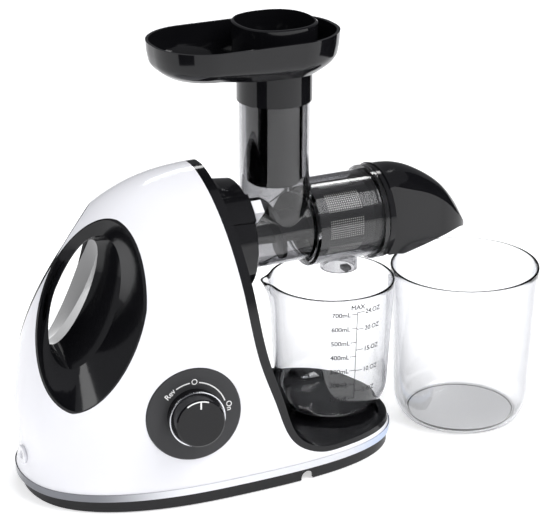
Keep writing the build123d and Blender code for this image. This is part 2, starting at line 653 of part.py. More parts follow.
with BuildPart() as motor_can:
    add(motor_ring(MOTOR_BACK, CASE_BACK[0], MOTOR_R, MOTOR_R - 2))
    add(motor_ring(CASE_BACK[0] - 2, CASE_BACK[0], MOTOR_R, MOTOR_SHAFT_R + 3))
    with BuildSketch(Plane.XY.offset(MOTOR_Z)):
        with Locations((MOTOR_BACK + 8, 0), (CASE_BACK[0] - 8, 0)):
            RectangleRounded(6, 26, 2.5)
    extrude(amount=60, both=True, mode=Mode.SUBTRACT)
save(motor_can.part, "motor_can")

with BuildPart() as motor_end_bell:
    add(motor_ring(MOTOR_BACK - 4, MOTOR_BACK, MOTOR_R, MOTOR_SHAFT_R + BEARING_TALL))
    with BuildSketch(across(MOTOR_BACK - 4, *motor_at)):
        with PolarLocations(21, 6):
            Circle(5)
    extrude(amount=4, mode=Mode.SUBTRACT)
save(motor_end_bell.part, "motor_end_bell")

with BuildPart() as motor_magnets:
    add(motor_ring(MOTOR_BACK + 14, CASE_BACK[0] - 14, MOTOR_R - 2.1, MOTOR_R - 7))
    add(block((-200, -50, MOTOR_Z - 10), (-100, 50, MOTOR_Z + 10)), mode=Mode.SUBTRACT)
save(motor_magnets.part, "motor_magnets")

with BuildPart() as motor_rotor:
    add(motor_ring(MOTOR_BACK - FAN_ROOM, MOTOR_PINION_X[0], MOTOR_SHAFT_R))
    add(motor_ring(MOTOR_BACK + 16, CASE_BACK[0] - 16, ROTOR_R))
    with BuildSketch(across(MOTOR_BACK + 16, *motor_at)):
        with PolarLocations(ROTOR_R, 12):
            Rectangle(9, 2.4)
    extrude(amount=CASE_BACK[0] - MOTOR_BACK - 32, mode=Mode.SUBTRACT)
    add(motor_ring(MOTOR_BACK + 3, MOTOR_BACK + 13, 11))  # commutator
    add(gear(
        across(MOTOR_PINION_X[0], *motor_at), STAGE_ONE[0], STAGE_ONE[1],
        MOTOR_PINION_X[1] - MOTOR_PINION_X[0], motor_bearing,
    ))
save(motor_rotor.part, "motor_rotor")

with BuildPart() as cooling_fan:
    low = MOTOR_BACK - FAN_ROOM + 1
    add(motor_ring(low, low + 9, 9, MOTOR_SHAFT_R))
    for k in range(9):
        turn_k = 2 * pi * k / 9
        out = (0, cos(turn_k), sin(turn_k))
        root = Plane(
            origin=(low + 4.5, out[1] * 8, MOTOR_Z + out[2] * 8), x_dir=(1, 0, 0), z_dir=out
        )
        with BuildSketch(root):
            Rectangle(9, 1.2, rotation=35)
        extrude(amount=FAN_R - 8)
save(cooling_fan.part, "cooling_fan")

with BuildPart() as motor_cradle:
    for x in (MOTOR_BACK + 6, CASE_BACK[0] - 20):
        add(block((x, -38, floor_top), (x + 8, 38, MOTOR_Z - 8)))
    add(block((MOTOR_BACK + 6, -30, floor_top), (CASE_BACK[0] - 12, 30, floor_top + 3)))
    for side in (-1, 1):
        add(block((MOTOR_BACK + 6, side * 28 - 1.5, floor_top), (CASE_BACK[0] - 12, side * 28 + 1.5, 40)))
    add(motor_ring(-200, -100, MOTOR_R), mode=Mode.SUBTRACT)
save(motor_cradle.part, "motor_cradle")

with BuildPart() as rectifier_board:
    add(block((-70, -24, floor_top + 3), (-32, 24, floor_top + 4.6)))
    for x, y in ((-66, -20), (-66, 20), (-36, -20), (-36, 20)):
        add(disc(Plane((x, y, floor_top)), 2.5, 3))
    add(disc(Plane((-50, -12, floor_top + 4.6)), 6.5, 14))
    add(block((-62, 4, floor_top + 4.6), (-46, 20, floor_top + 9)))
    add(block((-42, -4, floor_top + 4.6), (-36, 12, floor_top + 12)))
save(rectifier_board.part, "rectifier_board")


# ---------------------------------------------------------------- auger and strainer
hex_depth = 26.0  # how far the drive shaft reaches into the auger
with BuildPart() as auger:
    low, high = AUGER_X
    with BuildSketch(across(low)):
        Circle(AUGER_CORE[0])
    with BuildSketch(across(high)):
        Circle(AUGER_CORE[1])
    loft()
    with BuildLine():
        lead = Helix(
            pitch=AUGER_PITCH, height=high - low - 10, radius=AUGER_CORE[1],
            center=(low + 5, 0, SCREW_Z), direction=(1, 0, 0),
        )
    outwards = Vector(lead @ 0) - Vector(low + 5, 0, SCREW_Z)
    with BuildSketch(Plane(origin=lead @ 0, x_dir=outwards, z_dir=lead % 0)):
        flight_low = AUGER_CORE[0] - 2
        with Locations(((AUGER_R + flight_low) / 2 - AUGER_CORE[1], 0)):
            Trapezoid(7, AUGER_R - flight_low, 85, rotation=-90)
    sweep(path=lead, is_frenet=True)
    add(disc(across(low - 6), NECK_R, 7))
    add(disc(across(high - 1), TIP_R, 8))
    with BuildSketch(across(low - 7)):
        RegularPolygon(HEX_FLATS / 2, 6, major_radius=False)
    extrude(amount=hex_depth + 7, mode=Mode.SUBTRACT)
save(auger.part, "auger")

with BuildPart() as auger_shaft:
    with BuildSketch(across(SOCKET_X[0] + 4.5)):
        RegularPolygon(HEX_FLATS / 2, 6, major_radius=False)
    extrude(amount=AUGER_X[0] + hex_depth - SOCKET_X[0] - 4.5)
save(auger_shaft.part, "auger_shaft")


def strainer_windows(inner, outer):
    """The strainer's windows as curved blocks between two radii."""
    half = WINDOW_SPAN / 2
    with BuildPart() as windows:
        with BuildSketch(across(WINDOW_X[0])):
            for k in range(WINDOWS):
                angles = [radians(360 * k / WINDOWS + a) for a in (-half, 0, half)]
                near, far = [[(r * cos(a), r * sin(a)) for a in angles] for r in (inner, outer)]
                with BuildLine():
                    ThreePointArc(*near)
                    ThreePointArc(*far)
                    Line(near[0], far[0])
                    Line(near[2], far[2])
                make_face()
        extrude(amount=WINDOW_X[1] - WINDOW_X[0])
    return windows.part


with BuildPart() as strainer_frame:
    low, high = STRAINER_X
    flange = DRUM_LARGE_R - DRUM_WALL - FIT
    add(turned(
        across(0), (STRAINER_R - STRAINER_WALL, low), (STRAINER_R, low), (STRAINER_R, high - 6),
        (flange, high - 4), (flange, high), (STRAINER_R - STRAINER_WALL, high),
    ))
    add(strainer_windows(STRAINER_R - STRAINER_WALL - 1, STRAINER_R + 1), mode=Mode.SUBTRACT)
save(strainer_frame.part, "strainer_frame")
save(strainer_windows(STRAINER_R - 1.2, STRAINER_R - 0.7), "strainer_mesh")

# ---------------------------------------------------------------- drum with its chute and outlet
with BuildPart() as screw_drum:
    small, large = DRUM_SMALL_R, DRUM_LARGE_R
    flange_low, flange_high, flange_r = DRUM_FLANGE
    with BuildSketch(Plane.XZ):
        with BuildLine():
            Polyline(
                (DRUM_START, SCREW_Z), (DRUM_START, SCREW_Z + small), (DRUM_STEP, SCREW_Z + small),
                (DRUM_STEP + 4, SCREW_Z + large), (flange_low, SCREW_Z + large),
                (flange_low, SCREW_Z + flange_r), (flange_high, SCREW_Z + flange_r),
                (flange_high, SCREW_Z + large), (DRUM_END, SCREW_Z + large), (DRUM_END, SCREW_Z),
                close=True,
            )
        make_face()
    revolve(axis=Axis((0, 0, SCREW_Z), (1, 0, 0)))
    add(disc(Plane((CHUTE_X, 0, SCREW_Z)), CHUTE_R, CHUTE_TOP - SCREW_Z))
    fillet(edges().filter_by(GeomType.BSPLINE), CHUTE_FILLET)
    add(disc(Plane((OUTLET_X, 0, OUTLET_LOW)), OUTLET_R, SCREW_Z - OUTLET_LOW))
    add(disc(Plane((CHUTE_X, 0, SCREW_Z)), CHUTE_R - CHUTE_WALL, 200), mode=Mode.SUBTRACT)
    add(disc(Plane((OUTLET_X, 0, OUTLET_LOW - 1)), OUTLET_R - DRUM_WALL, 40), mode=Mode.SUBTRACT)
    add(turned(
        across(0), (0, DRUM_START - 1), (SEAL_R, DRUM_START - 1), (SEAL_R, DRUM_START + 3),
        (small - DRUM_WALL, DRUM_START + 3), (small - DRUM_WALL, DRUM_STEP + 2),
        (large - DRUM_WALL, DRUM_STEP + 2), (large - DRUM_WALL, DRUM_END + 1), (0, DRUM_END + 1),
    ), mode=Mode.SUBTRACT)
save(screw_drum.part, "screw_drum")

with BuildPart() as lock_lug:  # the button holds the drum by this
    add(button_block(LUG_X[0], LUG_X[1] - LUG_X[0], LUG_WIDE, small - 2, BUTTON_TOP - 2))
    fillet(edges().filter_by(Axis.X).group_by(Axis.Z)[-1], 1.0)
    add(disc(across(DRUM_START), small, 100), mode=Mode.SUBTRACT)
save(lock_lug.part, "lock_lug")
save(disc(across(DRUM_START), SEAL_R, 3, NECK_R + RUN_FIT), "drum_seal")

with BuildPart() as drip_plug:
    x = OUTLET_X + 7
    add(block((x - 3.5, -4, OUTLET_LOW - 3.5), (x + 3.5, 4, OUTLET_LOW)))
    add(disc(Plane((x + 1, 0, OUTLET_LOW - 6)), 1.6, 3))
save(drip_plug.part, "drip_plug")

# ---------------------------------------------------------------- end cap
def nose_form(inset=0.0):
    """The pulp nose: flat sides under an arched top, drooping to its tip."""
    with BuildPart() as form:
        for x, crown, shoulder, low, half in NOSE:
            with BuildSketch(Plane(origin=(x, 0, 0), x_dir=(0, 1, 0), z_dir=(1, 0, 0))):
                w, foot = half - inset, low - (3 if inset else 0)
                with BuildLine():
                    ThreePointArc((-w, shoulder - inset), (0, crown - inset), (w, shoulder - inset))
                    Polyline((w, shoulder - inset), (w, foot), (-w, foot), (-w, shoulder - inset))
                make_face()
        loft()
    return form.part


with BuildPart() as end_cap:
    add(nose_form())
    with BuildPart(mode=Mode.PRIVATE) as nose_room:
        add(nose_form(CAP_WALL))
        add(block((CAP_X + CAP_WALL, -60, 100), (NOSE[-1][0] - CAP_WALL, 60, 260)), mode=Mode.INTERSECT)
    add(nose_room.part, mode=Mode.SUBTRACT)
    add(turned(  # skirt over the drum's end, the wall across it and the spigot inside
        across(0), (CAP_BOSS_R - 1, CAP_X), (CAP_SPIGOT_R - 2, CAP_X), (CAP_SPIGOT_R - 2, CAP_X - 6),
        (CAP_SPIGOT_R, CAP_X - 6), (CAP_SPIGOT_R, CAP_X - 4.5), (CAP_SPIGOT_R - 1.2, CAP_X - 4.5),
        (CAP_SPIGOT_R - 1.2, CAP_X - 2.5), (CAP_SPIGOT_R, CAP_X - 2.5), (CAP_SPIGOT_R, CAP_X),
        (DRUM_LARGE_R + FIT, CAP_X), (DRUM_LARGE_R + FIT, CAP_X - 3), (CAP_R, CAP_X - 3),
        (CAP_R, CAP_X + CAP_WALL), (CAP_BOSS_R - 1, CAP_X + CAP_WALL),
    ))
    add(disc(across(CAP_X), CAP_BOSS_R, 6))
    with BuildSketch(across(CAP_X - 1)):  # pulp openings round the boss
        with PolarLocations(0, 6):
            SlotArc(CenterArc((0, 0), (CAP_BOSS_R + CAP_SPIGOT_R) / 2 - 0.5, -17, 34), 17)
    extrude(amount=CAP_WALL + 1.5, mode=Mode.SUBTRACT)
    add(disc(across(CAP_X - 1), TIP_R + RUN_FIT, 10), mode=Mode.SUBTRACT)
save(end_cap.part, "end_cap")
save(disc(across(CAP_X - 4.4), CAP_SPIGOT_R + 0.2, 1.8, CAP_SPIGOT_R - 1.1), "cap_seal")

# ---------------------------------------------------------------- feed tray and pusher
def tray_form(inset, low):
    """The tray's form, rounded below: the outside, or set in by the wall."""
    with BuildPart() as form:
        with BuildSketch(Plane.XY.offset(low)):
            with Locations((CHUTE_X + TRAY_SHIFT, 0)):
                RectangleRounded(
                    TRAY_LENGTH - 2 * inset, TRAY_WIDTH - 2 * inset, TRAY_CORNER - inset
                )
        extrude(amount=TRAY_RIM_Z - low)
        fillet(form.faces().sort_by(Axis.Z)[0].edges(), TRAY_ROUND - inset)
    return form.part


with BuildPart() as feed_tray:
    add(tray_form(0, TRAY_FLOOR_Z))
    sleeve_r = CHUTE_R + CHUTE_FIT + SLEEVE_WALL
    add(disc(Plane((CHUTE_X, 0, SLEEVE_LOW)), sleeve_r, TRAY_FLOOR_Z - SLEEVE_LOW + 1))
    add(tray_form(TRAY_WALL, TRAY_FLOOR_Z + TRAY_WALL), mode=Mode.SUBTRACT)
    add(disc(Plane((CHUTE_X, 0, SLEEVE_LOW - 1)), CHUTE_R - CHUTE_WALL, 40), mode=Mode.SUBTRACT)
    add(disc(
        Plane((CHUTE_X, 0, SLEEVE_LOW - 1)), CHUTE_R + CHUTE_FIT, TRAY_FLOOR_Z - SLEEVE_LOW + 1
    ), mode=Mode.SUBTRACT)
save(feed_tray.part, "feed_tray")

with BuildPart() as food_pusher:
    r, top, floor = PUSHER_R, PUSHER_RIM_Z, PUSHER_LOW
    w = PUSHER_WALL
    add(turned(
        Plane((CHUTE_X, 0, 0)), (0, floor), (r - 3, floor), (r - 1, floor + 2), (r, TRAY_FLOOR_Z),
        (r + 2.5, TRAY_FLOOR_Z + 3), (PUSHER_RIM_R - 1.5, TRAY_FLOOR_Z + 7),
        (PUSHER_RIM_R - 0.5, TRAY_FLOOR_Z + 14), (PUSHER_RIM_R, top - 1), (PUSHER_RIM_R - 1, top),
        (PUSHER_RIM_R - w, top), (PUSHER_RIM_R - w - 0.5, TRAY_FLOOR_Z + 15),
        (PUSHER_RIM_R - w - 2, TRAY_FLOOR_Z + 9), (r - w, TRAY_FLOOR_Z + 4), (r - 1 - w, floor + w),
        (0, floor + w),
    ))
save(food_pusher.part, "food_pusher")


# ---------------------------------------------------------------- jug and cup
def tumbler(centre, low, top, foot_r, rim_r, draft, inset=0.0):
    """A round vessel's form: a flat foot, a rounded corner, a slower curve, then a straight wall."""
    flat = foot_r - 6  # radius of the flat foot
    lean = radians(draft)
    corner = (flat + CORNER_R * sin(radians(60)), CORNER_R / 2)  # end of the corner's arc
    reach = rim_r - (top - low - corner[1]) * tan(lean) - corner[0]
    curve_r = reach / (cos(lean) - sin(radians(60)) - (0.5 - sin(lean)) * tan(lean))
    with BuildPart() as form:
        with BuildSketch(Plane(origin=(*centre, 0), x_dir=(1, 0, 0), z_dir=(0, -1, 0))):
            with BuildLine():
                foot = Line((0, low + inset), (flat, low + inset))
                round_corner = JernArc(foot @ 1, foot % 1, CORNER_R - inset, 60)
                curve = JernArc(round_corner @ 1, round_corner % 1, curve_r - inset, 30 - draft)
                Polyline(curve @ 1, (rim_r - inset, top), (0, top), foot @ 0)
            make_face()
        revolve(axis=Axis((*centre, 0), (0, 0, 1)))
    return form.part


def room_in(vessel, floor):
    """What a vessel holds: its form set in by the wall, above a thicker floor."""
    centre, low = vessel[:2]
    return overlap(tumbler(*vessel, GLASS_WALL), disc(Plane((*centre, low + floor)), 100, 300))


jug = ((JUG_X, 0), PAD_Z + 0.05, JUG_RIM_Z, JUG_FOOT_R, JUG_R, 3.3)
lip_turn, lip_low = radians(LIP_ANGLE), JUG_RIM_Z - LIP_TALL
outer_lip = ((lip_low, JUG_R - 4, 3, 3), (JUG_RIM_Z, LIP_REACH, 12, 12))
inner_lip = ((lip_low + 3, JUG_R - 4, 3, 1.5), (JUG_RIM_Z + 2.2, LIP_REACH, 12, 12 - GLASS_WALL))
with BuildPart() as juice_jug:
    add(tumbler(*jug))
    for lip_form, mode in ((outer_lip, Mode.ADD), (inner_lip, Mode.SUBTRACT)):
        with BuildPart(mode=Mode.PRIVATE) as lip:
            for z, reach, back, r in lip_form:  # level, furthest point, its centre and radius
                out = reach - back
                with BuildSketch(Plane.XY.offset(z)):
                    with Locations((JUG_X + out * cos(lip_turn), out * sin(lip_turn))):
                        Circle(r)
            loft()
        add(lip.part, mode=mode)
    add(room_in(jug, 3.2), mode=Mode.SUBTRACT)
save(juice_jug.part, "juice_jug")

cup = ((CUP_X, -CUP_ASIDE), 0, CUP_RIM_Z, CUP_FOOT_R, CUP_R, 2.7)
with BuildPart() as pulp_cup:
    add(tumbler(*cup))
    add(room_in(cup, 4.5), mode=Mode.SUBTRACT)
save(pulp_cup.part, "pulp_cup")
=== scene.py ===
# %% [markdown]
# # A cold press juicer on a light table
# The solids come from the CAD model, already in place and in metres. This script gives them their
# finishes, adds the printed marks, and sets the table, the light and the camera. It starts by loading
# the solids as a fixed frame.

# %% Load the solids
import math

import bpy
import numpy as np
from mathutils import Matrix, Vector


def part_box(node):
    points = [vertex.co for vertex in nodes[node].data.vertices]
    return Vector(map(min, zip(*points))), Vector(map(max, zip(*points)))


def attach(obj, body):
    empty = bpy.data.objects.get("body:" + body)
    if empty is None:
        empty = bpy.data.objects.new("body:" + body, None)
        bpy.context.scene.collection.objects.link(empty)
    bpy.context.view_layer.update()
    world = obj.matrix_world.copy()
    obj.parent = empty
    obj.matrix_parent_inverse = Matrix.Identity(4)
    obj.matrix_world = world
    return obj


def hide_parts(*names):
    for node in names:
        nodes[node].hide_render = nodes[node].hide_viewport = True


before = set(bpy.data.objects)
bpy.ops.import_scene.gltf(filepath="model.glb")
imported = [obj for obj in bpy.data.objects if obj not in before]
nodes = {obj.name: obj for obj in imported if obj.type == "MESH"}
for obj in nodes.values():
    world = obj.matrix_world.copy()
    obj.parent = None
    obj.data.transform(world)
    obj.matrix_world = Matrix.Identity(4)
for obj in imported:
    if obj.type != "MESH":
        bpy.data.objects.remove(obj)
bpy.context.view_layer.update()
MM = 0.001

# %% [markdown]
# ## Camera
# A product picture like this is taken from a little above, with a long lens, so that upright edges
# stay nearly parallel. The camera stands in front of the knob side, turned towards the pulp nose.

# %% Camera
camera_data = bpy.data.cameras.new("camera")
camera_data.sensor_width, camera_data.lens = 36.0, 135.9
camera_data.shift_x, camera_data.shift_y = 0.0013, 0.0023
camera = bpy.data.objects.new("camera", camera_data)
camera.location = (-0.7204, -1.4688, 0.8223)
looking = Vector((0.4054, 0.8348, -0.3724))
camera.rotation_euler = looking.to_track_quat("-Z", "Y").to_euler()
bpy.context.scene.collection.objects.link(camera)
bpy.context.scene.camera = camera
print("the camera looks down by", round(math.degrees(math.asin(-looking.z)), 1), "degrees")

# %% [markdown]
# ## Surfaces from arrays
# New pieces are worked out with numpy. A grid of points becomes a mesh by joining each point to its
# neighbours along the rows and the columns, and the whole arrays go into the mesh in one call.

# %% From a grid of points to a mesh
def grid_faces(rows, columns):
    """Corner numbers of the squares of a grid whose points are numbered row by row."""
    first = (np.arange(rows - 1)[:, None] * columns + np.arange(columns - 1)).ravel()
    return np.stack([first, first + 1, first + columns + 1, first + columns], axis=1)


def make_piece(name, points, faces, body, finish, smooth=True):
    """Puts points in millimetres and faces into a new mesh that rides on a body."""
    mesh = bpy.data.meshes.new(name)
    mesh.from_pydata((np.asarray(points, float) * MM).tolist(), [], [list(f) for f in faces])
    mesh.materials.append(finish)
    mesh.polygons.foreach_set("use_smooth", np.full(len(mesh.polygons), smooth))
    mesh.update()
    piece = bpy.data.objects.new(name, mesh)
    bpy.context.scene.collection.objects.link(piece)
    if body:
        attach(piece, body)
    return piece


print("a grid of 3 by 4 points has", len(grid_faces(3, 4)), "squares")


# %% A soft step
def eased(share):
    """Zero below 0, one above 1, and 3s^2 - 2s^3 between."""
    share = np.clip(share, 0, 1)
    return share**2 * (3 - 2 * share)


print("a quarter of the way a soft step is at", eased(0.25))

# %% [markdown]
# ## Shader sums as plain maths
# Finishes vary a little over a surface: a cloudier patch here, a finer grain there. Such sums read
# best as ordinary maths, so a small class wraps a socket, and each operator adds one Math node.

# %% A socket that can be added and multiplied
class Value:
    """A number that varies over a surface; each sum or product with it adds a Math node."""

    def __init__(self, finish, socket):
        self.finish, self.socket = finish, socket

    def maths(self, operation, first, second):
        return self.finish.node("Math", {"operation": operation}, {0: first, 1: second})

    def __add__(self, other):
        return self.maths("ADD", self, other)

    def __rsub__(self, other):
        return self.maths("SUBTRACT", other, self)

    def __mul__(self, other):
        return self.maths("MULTIPLY", self, other)

    def __lt__(self, other):
        return self.maths("LESS_THAN", self, other)

    __radd__, __rmul__ = __add__, __mul__


print("sums ready")

# %% A finish in the making
class Finish:
    """A material with its main shader; constants are set on the shader's own sockets."""

    def __init__(self, name, **constants):
        self.material = bpy.data.materials.new(name)
        self.material.use_nodes = True
        self.tree = self.material.node_tree
        self.shader = self.tree.nodes["Principled BSDF"]
        for socket, value in constants.items():
            self.shader.inputs[socket.replace("_", " ")].default_value = value

    def plug(self, socket, value):
        """Links a varying value to a socket, or sets a constant on it."""
        if isinstance(value, Value):
            self.tree.links.new(value.socket, socket)
        else:
            socket.default_value = value

    def node(self, kind, settings=None, values=None, out=0):
        """Adds a node: its settings first, then the values or links of its sockets."""
        made = self.tree.nodes.new("ShaderNode" + kind)
        for setting, value in (settings or {}).items():
            setattr(made, setting, value)
        for socket, value in (values or {}).items():
            self.plug(made.inputs[socket], value)
        return Value(self, made.outputs[out])

    def place(self):
        """Where a point is on the object, in metres."""
        return self.node("TexCoord", out="Object")

    def cloud(self, size_mm, detail=2.0, stretch=(1, 1, 1)):
        """Soft noise from 0 to 1 whose patches are about this size."""
        spot = self.node("Mapping", values={"Vector": self.place(), "Scale": stretch})
        scale = 1000.0 / size_mm
        return self.node("TexNoise", values={"Vector": spot, "Scale": scale, "Detail": detail})

    def blend(self, share, first, second):
        """A colour between two, by a varying share."""
        first, second = (c if isinstance(c, Value) else (*c, 1) for c in (first, second))
        return self.node("Mix", {"data_type": "RGBA"}, {0: share, 6: first, 7: second}, out=2)

    def raised(self, height, depth_mm):
        """A bump of a height from 0 to 1 over a depth."""
        values = {"Strength": 1.0, "Distance": depth_mm * MM, "Height": height}
        return self.node("Bump", values=values)

    def feed(self, **links):
        """Plugs varying values into the main shader and hands back the material."""
        for socket, value in links.items():
            self.plug(self.shader.inputs[socket.replace("_", " ")], value)
        return self.material


print("finishes ready")

# %% [markdown]
# ## Moulded plastic
# The housing, the tray and most other parts are injection moulded. Polished tools give a gloss with a
# very shallow orange peel and patches that are a touch duller, and a spark-eroded tool gives an even,
# fine grain. One recipe makes them all: two near colours, a roughness that drifts, and a bump.

# %% Moulded plastic
def moulded(name, light, dark, gloss, drift, grain_mm, grain_deep_mm, patch_mm=35.0, **constants):
    """Colour between two by a slow cloud, roughness gloss to gloss plus drift, and a fine bump."""
    finish = Finish(name, **constants)
    patches = finish.cloud(patch_mm)
    grain = finish.cloud(grain_mm, detail=1.0)
    return finish.feed(
        Base_Color=finish.blend(patches, dark, light),
        Roughness=gloss + drift * finish.cloud(patch_mm / 4),
        Normal=finish.raised(grain, grain_deep_mm),
    )


finishes = {
    "white_shell": moulded(
        "white gloss shell", (0.87, 0.87, 0.90), (0.83, 0.83, 0.87), 0.10, 0.06, 1.6, 0.004,
        patch_mm=90.0, Coat_Weight=0.25, Coat_Roughness=0.03, Specular_IOR_Level=0.6,
    ),
    "black_gloss": moulded(
        "black gloss", (0.007, 0.007, 0.008), (0.004, 0.004, 0.005), 0.06, 0.06, 1.4, 0.003,
        Specular_IOR_Level=0.34,
    ),
    "black_matte": moulded(
        "black skirt", (0.012, 0.012, 0.013), (0.008, 0.008, 0.009), 0.36, 0.10, 0.7, 0.03,
        Specular_IOR_Level=0.3,
    ),
    "charcoal": moulded(
        "charcoal dial", (0.046, 0.046, 0.048), (0.038, 0.038, 0.040), 0.46, 0.10, 0.45, 0.03,
        Specular_IOR_Level=0.3,
    ),
    "auger_grey": moulded(
        "satin screw", (0.040, 0.040, 0.043), (0.026, 0.026, 0.028), 0.34, 0.12, 0.8, 0.015
    ),
    "gear_nylon": moulded(
        "gear nylon", (0.80, 0.78, 0.71), (0.74, 0.72, 0.65), 0.42, 0.12, 0.9, 0.02
    ),
    "grey_plastic": moulded(
        "grey inner plastic", (0.20, 0.21, 0.22), (0.16, 0.17, 0.18), 0.48, 0.12, 0.7, 0.03
    ),
    "rubber": moulded(
        "rubber", (0.030, 0.030, 0.031), (0.018, 0.018, 0.019), 0.66, 0.16, 0.5, 0.04
    ),
    "silicone": moulded(
        "silicone", (0.10, 0.10, 0.11), (0.07, 0.07, 0.08), 0.40, 0.15, 0.6, 0.02
    ),
    "board": moulded(
        "circuit board", (0.03, 0.16, 0.07), (0.02, 0.11, 0.05), 0.30, 0.15, 2.5, 0.03
    ),
    "magnet": moulded(
        "ferrite magnet", (0.07, 0.07, 0.075), (0.045, 0.045, 0.05), 0.60, 0.2, 0.4, 0.04
    ),
}
print(len(finishes), "moulded finishes")

# %% [markdown]
# ## Metal
# Inner shafts, the motor's can and the screws are bare steel, which keeps fine marks along the way it
# was worked. Stretching the noise along one axis draws those marks. The band round the foot is chromed
# plastic, mirror bright. A mirror shows its room, and here that reflection is painted into the band's
# colour by its place: a painted reflection, grey at the rear and a little blue at the front.

# %% Steel
MARKS_MM, MARKS_DEEP_MM = 0.6, 0.004


def metal(name, light, dark, gloss, drift, stretch):
    """Full metal whose noise is stretched into fine marks."""
    finish = Finish(name, Metallic=1.0)
    marks = finish.cloud(MARKS_MM, stretch=stretch)
    return finish.feed(
        Base_Color=finish.blend(finish.cloud(25.0), dark, light),
        Roughness=gloss + drift * marks,
        Normal=finish.raised(marks, MARKS_DEEP_MM),
    )


finishes["steel"] = metal(
    "turned steel", (0.62, 0.63, 0.65), (0.50, 0.51, 0.53), 0.22, 0.18, (8, 1, 1)
)
print("steel")

# %% Chrome
# The band's painted reflection turns grey over the rear span and blue over the front span.
REAR_REFLECTION_SPAN, FRONT_REFLECTION_SPAN = (-0.12, -0.20), (0.02, 0.08)  # where the band changes its tone, x in metres


def soft_share(finish, value, span):
    """How far a value is along a span, with soft ends."""
    return finish.node(
        "MapRange", {"interpolation_type": "SMOOTHSTEP"},
        {"Value": value, "From Min": span[0], "From Max": span[1]},
    )


def chrome_band(name):
    """Mirror metal with a painted reflection: grey towards the rear and blue at the front."""
    finish = Finish(name, Metallic=1.0)
    along = finish.node("SeparateXYZ", values={"Vector": finish.place()}, out="X")
    rear, front = (soft_share(finish, along, span) for span in (REAR_REFLECTION_SPAN, FRONT_REFLECTION_SPAN))
    # Painted reflection: grey towards the rear, then a little blue at the front.
    rear_painted_reflection = finish.blend(rear, (0.70, 0.71, 0.74), (0.18, 0.185, 0.20))
    drift = finish.cloud(12.0)
    return finish.feed(
        Base_Color=finish.blend(front, rear_painted_reflection, (0.46, 0.55, 0.74)),
        Roughness=0.05 + 0.06 * drift,
        Normal=finish.raised(drift, 0.002),
    )


finishes["chrome"] = chrome_band("chrome band")
print("chrome")

# %% [markdown]
# ## Clear and smoky plastic
# Jug and cup are clear, the drum is tinted a smoky grey. All are solids with a real wall, so light
# bends twice on its way through. Where the wall is seen edge-on the colour goes to a darker one, by
# the square of how slanted the surface is to the eye: painted shade that draws dark rims. On the
# smoky drum it also stands for the longer way through tinted plastic.

# %% Clear and smoky plastic
def see_through(name, face, edge, gloss):
    """Fully transmitting plastic, with painted shade where the wall is seen edge-on."""
    finish = Finish(name, Transmission_Weight=1.0, IOR=1.49)
    slant = finish.node("LayerWeight", values={"Blend": 0.5}, out="Facing")
    # Painted shade: the colour goes to the darker one where the wall is seen edge-on.
    painted_edge_shade = slant * slant
    return finish.feed(
        Base_Color=finish.blend(painted_edge_shade, face, edge),
        Roughness=gloss + 0.02 * finish.cloud(18.0),
        Normal=finish.raised(finish.cloud(9.0), 0.004),
    )


# The second colour of each is the painted shade of walls seen edge-on.
finishes["clear"] = see_through("clear plastic", (0.965, 0.967, 0.973), (0.05, 0.06, 0.10), 0.0)
finishes["smoky_clear"] = see_through(
    "smoky plastic", (0.52, 0.52, 0.53), (0.12, 0.12, 0.14), 0.01
)
print("clear and smoky")

# %% [markdown]
# ## Strainer mesh
# The strainer's windows are thin sheet with rows of tiny holes. The light seen through the holes is
# painted in as light dots on a dark ground. The sheet is a band round the screw, so its pattern lives
# on two lengths: the way along the screw and the way round it, which is the angle times the radius.
# Two sine waves make the rows, and where their sum is high there is a dot. The dots also glow a
# little: painted light, as from holes against the light.

# %% Strainer mesh
SCREW_Y, SCREW_Z = 10.4, 197.5  # the screw's line, in mm
STRAINER_R, DOT_PITCH = 30.6, 1.9
DOTS_ROUND = round(2 * math.pi * STRAINER_R / DOT_PITCH)
DOT_LEVEL = 0.75  # the sum of the two sines at a dot's edge


def dotted_sheet(name):
    """Painted light where the sine along the screw plus the sine round it passes a level, dark
    elsewhere.
    """
    finish = Finish(name, Emission_Strength=0.4)
    spot = finish.node(
        "Mapping",
        {"vector_type": "POINT"},
        {"Vector": finish.place(), "Location": (0, -SCREW_Y * MM, -SCREW_Z * MM)},
    )
    split = {
        axis: finish.node("SeparateXYZ", values={"Vector": spot}, out=axis) for axis in "XYZ"
    }
    turn = split["Y"].maths("ARCTAN2", split["Z"], split["Y"])
    along = turn.maths("SINE", split["X"] * (2 * math.pi / (DOT_PITCH * MM)), 0.0)
    around = turn.maths("SINE", turn * DOTS_ROUND, 0.0)
    dots = 1 - (along + around < DOT_LEVEL)
    return finish.feed(
        # Painted light: the holes show as light, glowing dots that stand for the light seen through
        # them.
        Base_Color=finish.blend(dots, (0.035, 0.035, 0.038), (0.90, 0.90, 0.86)),
        Emission_Color=finish.blend(dots, (0.0, 0.0, 0.0), (0.9, 0.9, 0.85)),
        Roughness=0.30 + 0.25 * dots,
        Normal=finish.raised(dots, 0.15),
    )


finishes["mesh_steel"] = dotted_sheet("dotted strainer sheet")
print("the strainer has", DOTS_ROUND, "dots round it")

# %% Give every solid its finish
for name, node in nodes.items():
    for slot in node.material_slots:
        slot.material = finishes[slot.material.name.split(".")[0]]
print("finished", len(nodes), "solids")

# %% [markdown]
# ## Jug and cup
# Clear plastic shows every facet, because light bends at each one, so the two vessels are made anew
# with smooth walls and stand for their solids. A vessel is turned: a profile goes round its axis. The
# profile is drawn the way a potter's rib moves. It heads outwards over the foot, turns up round the
# corner, curves more slowly, and runs straight to the rim. The inside is the same line moved in by
# the wall, and the floor is a little thicker. A ring under the floor is what the vessel stands on. The
# jug's pouring lip is a soft push outwards.

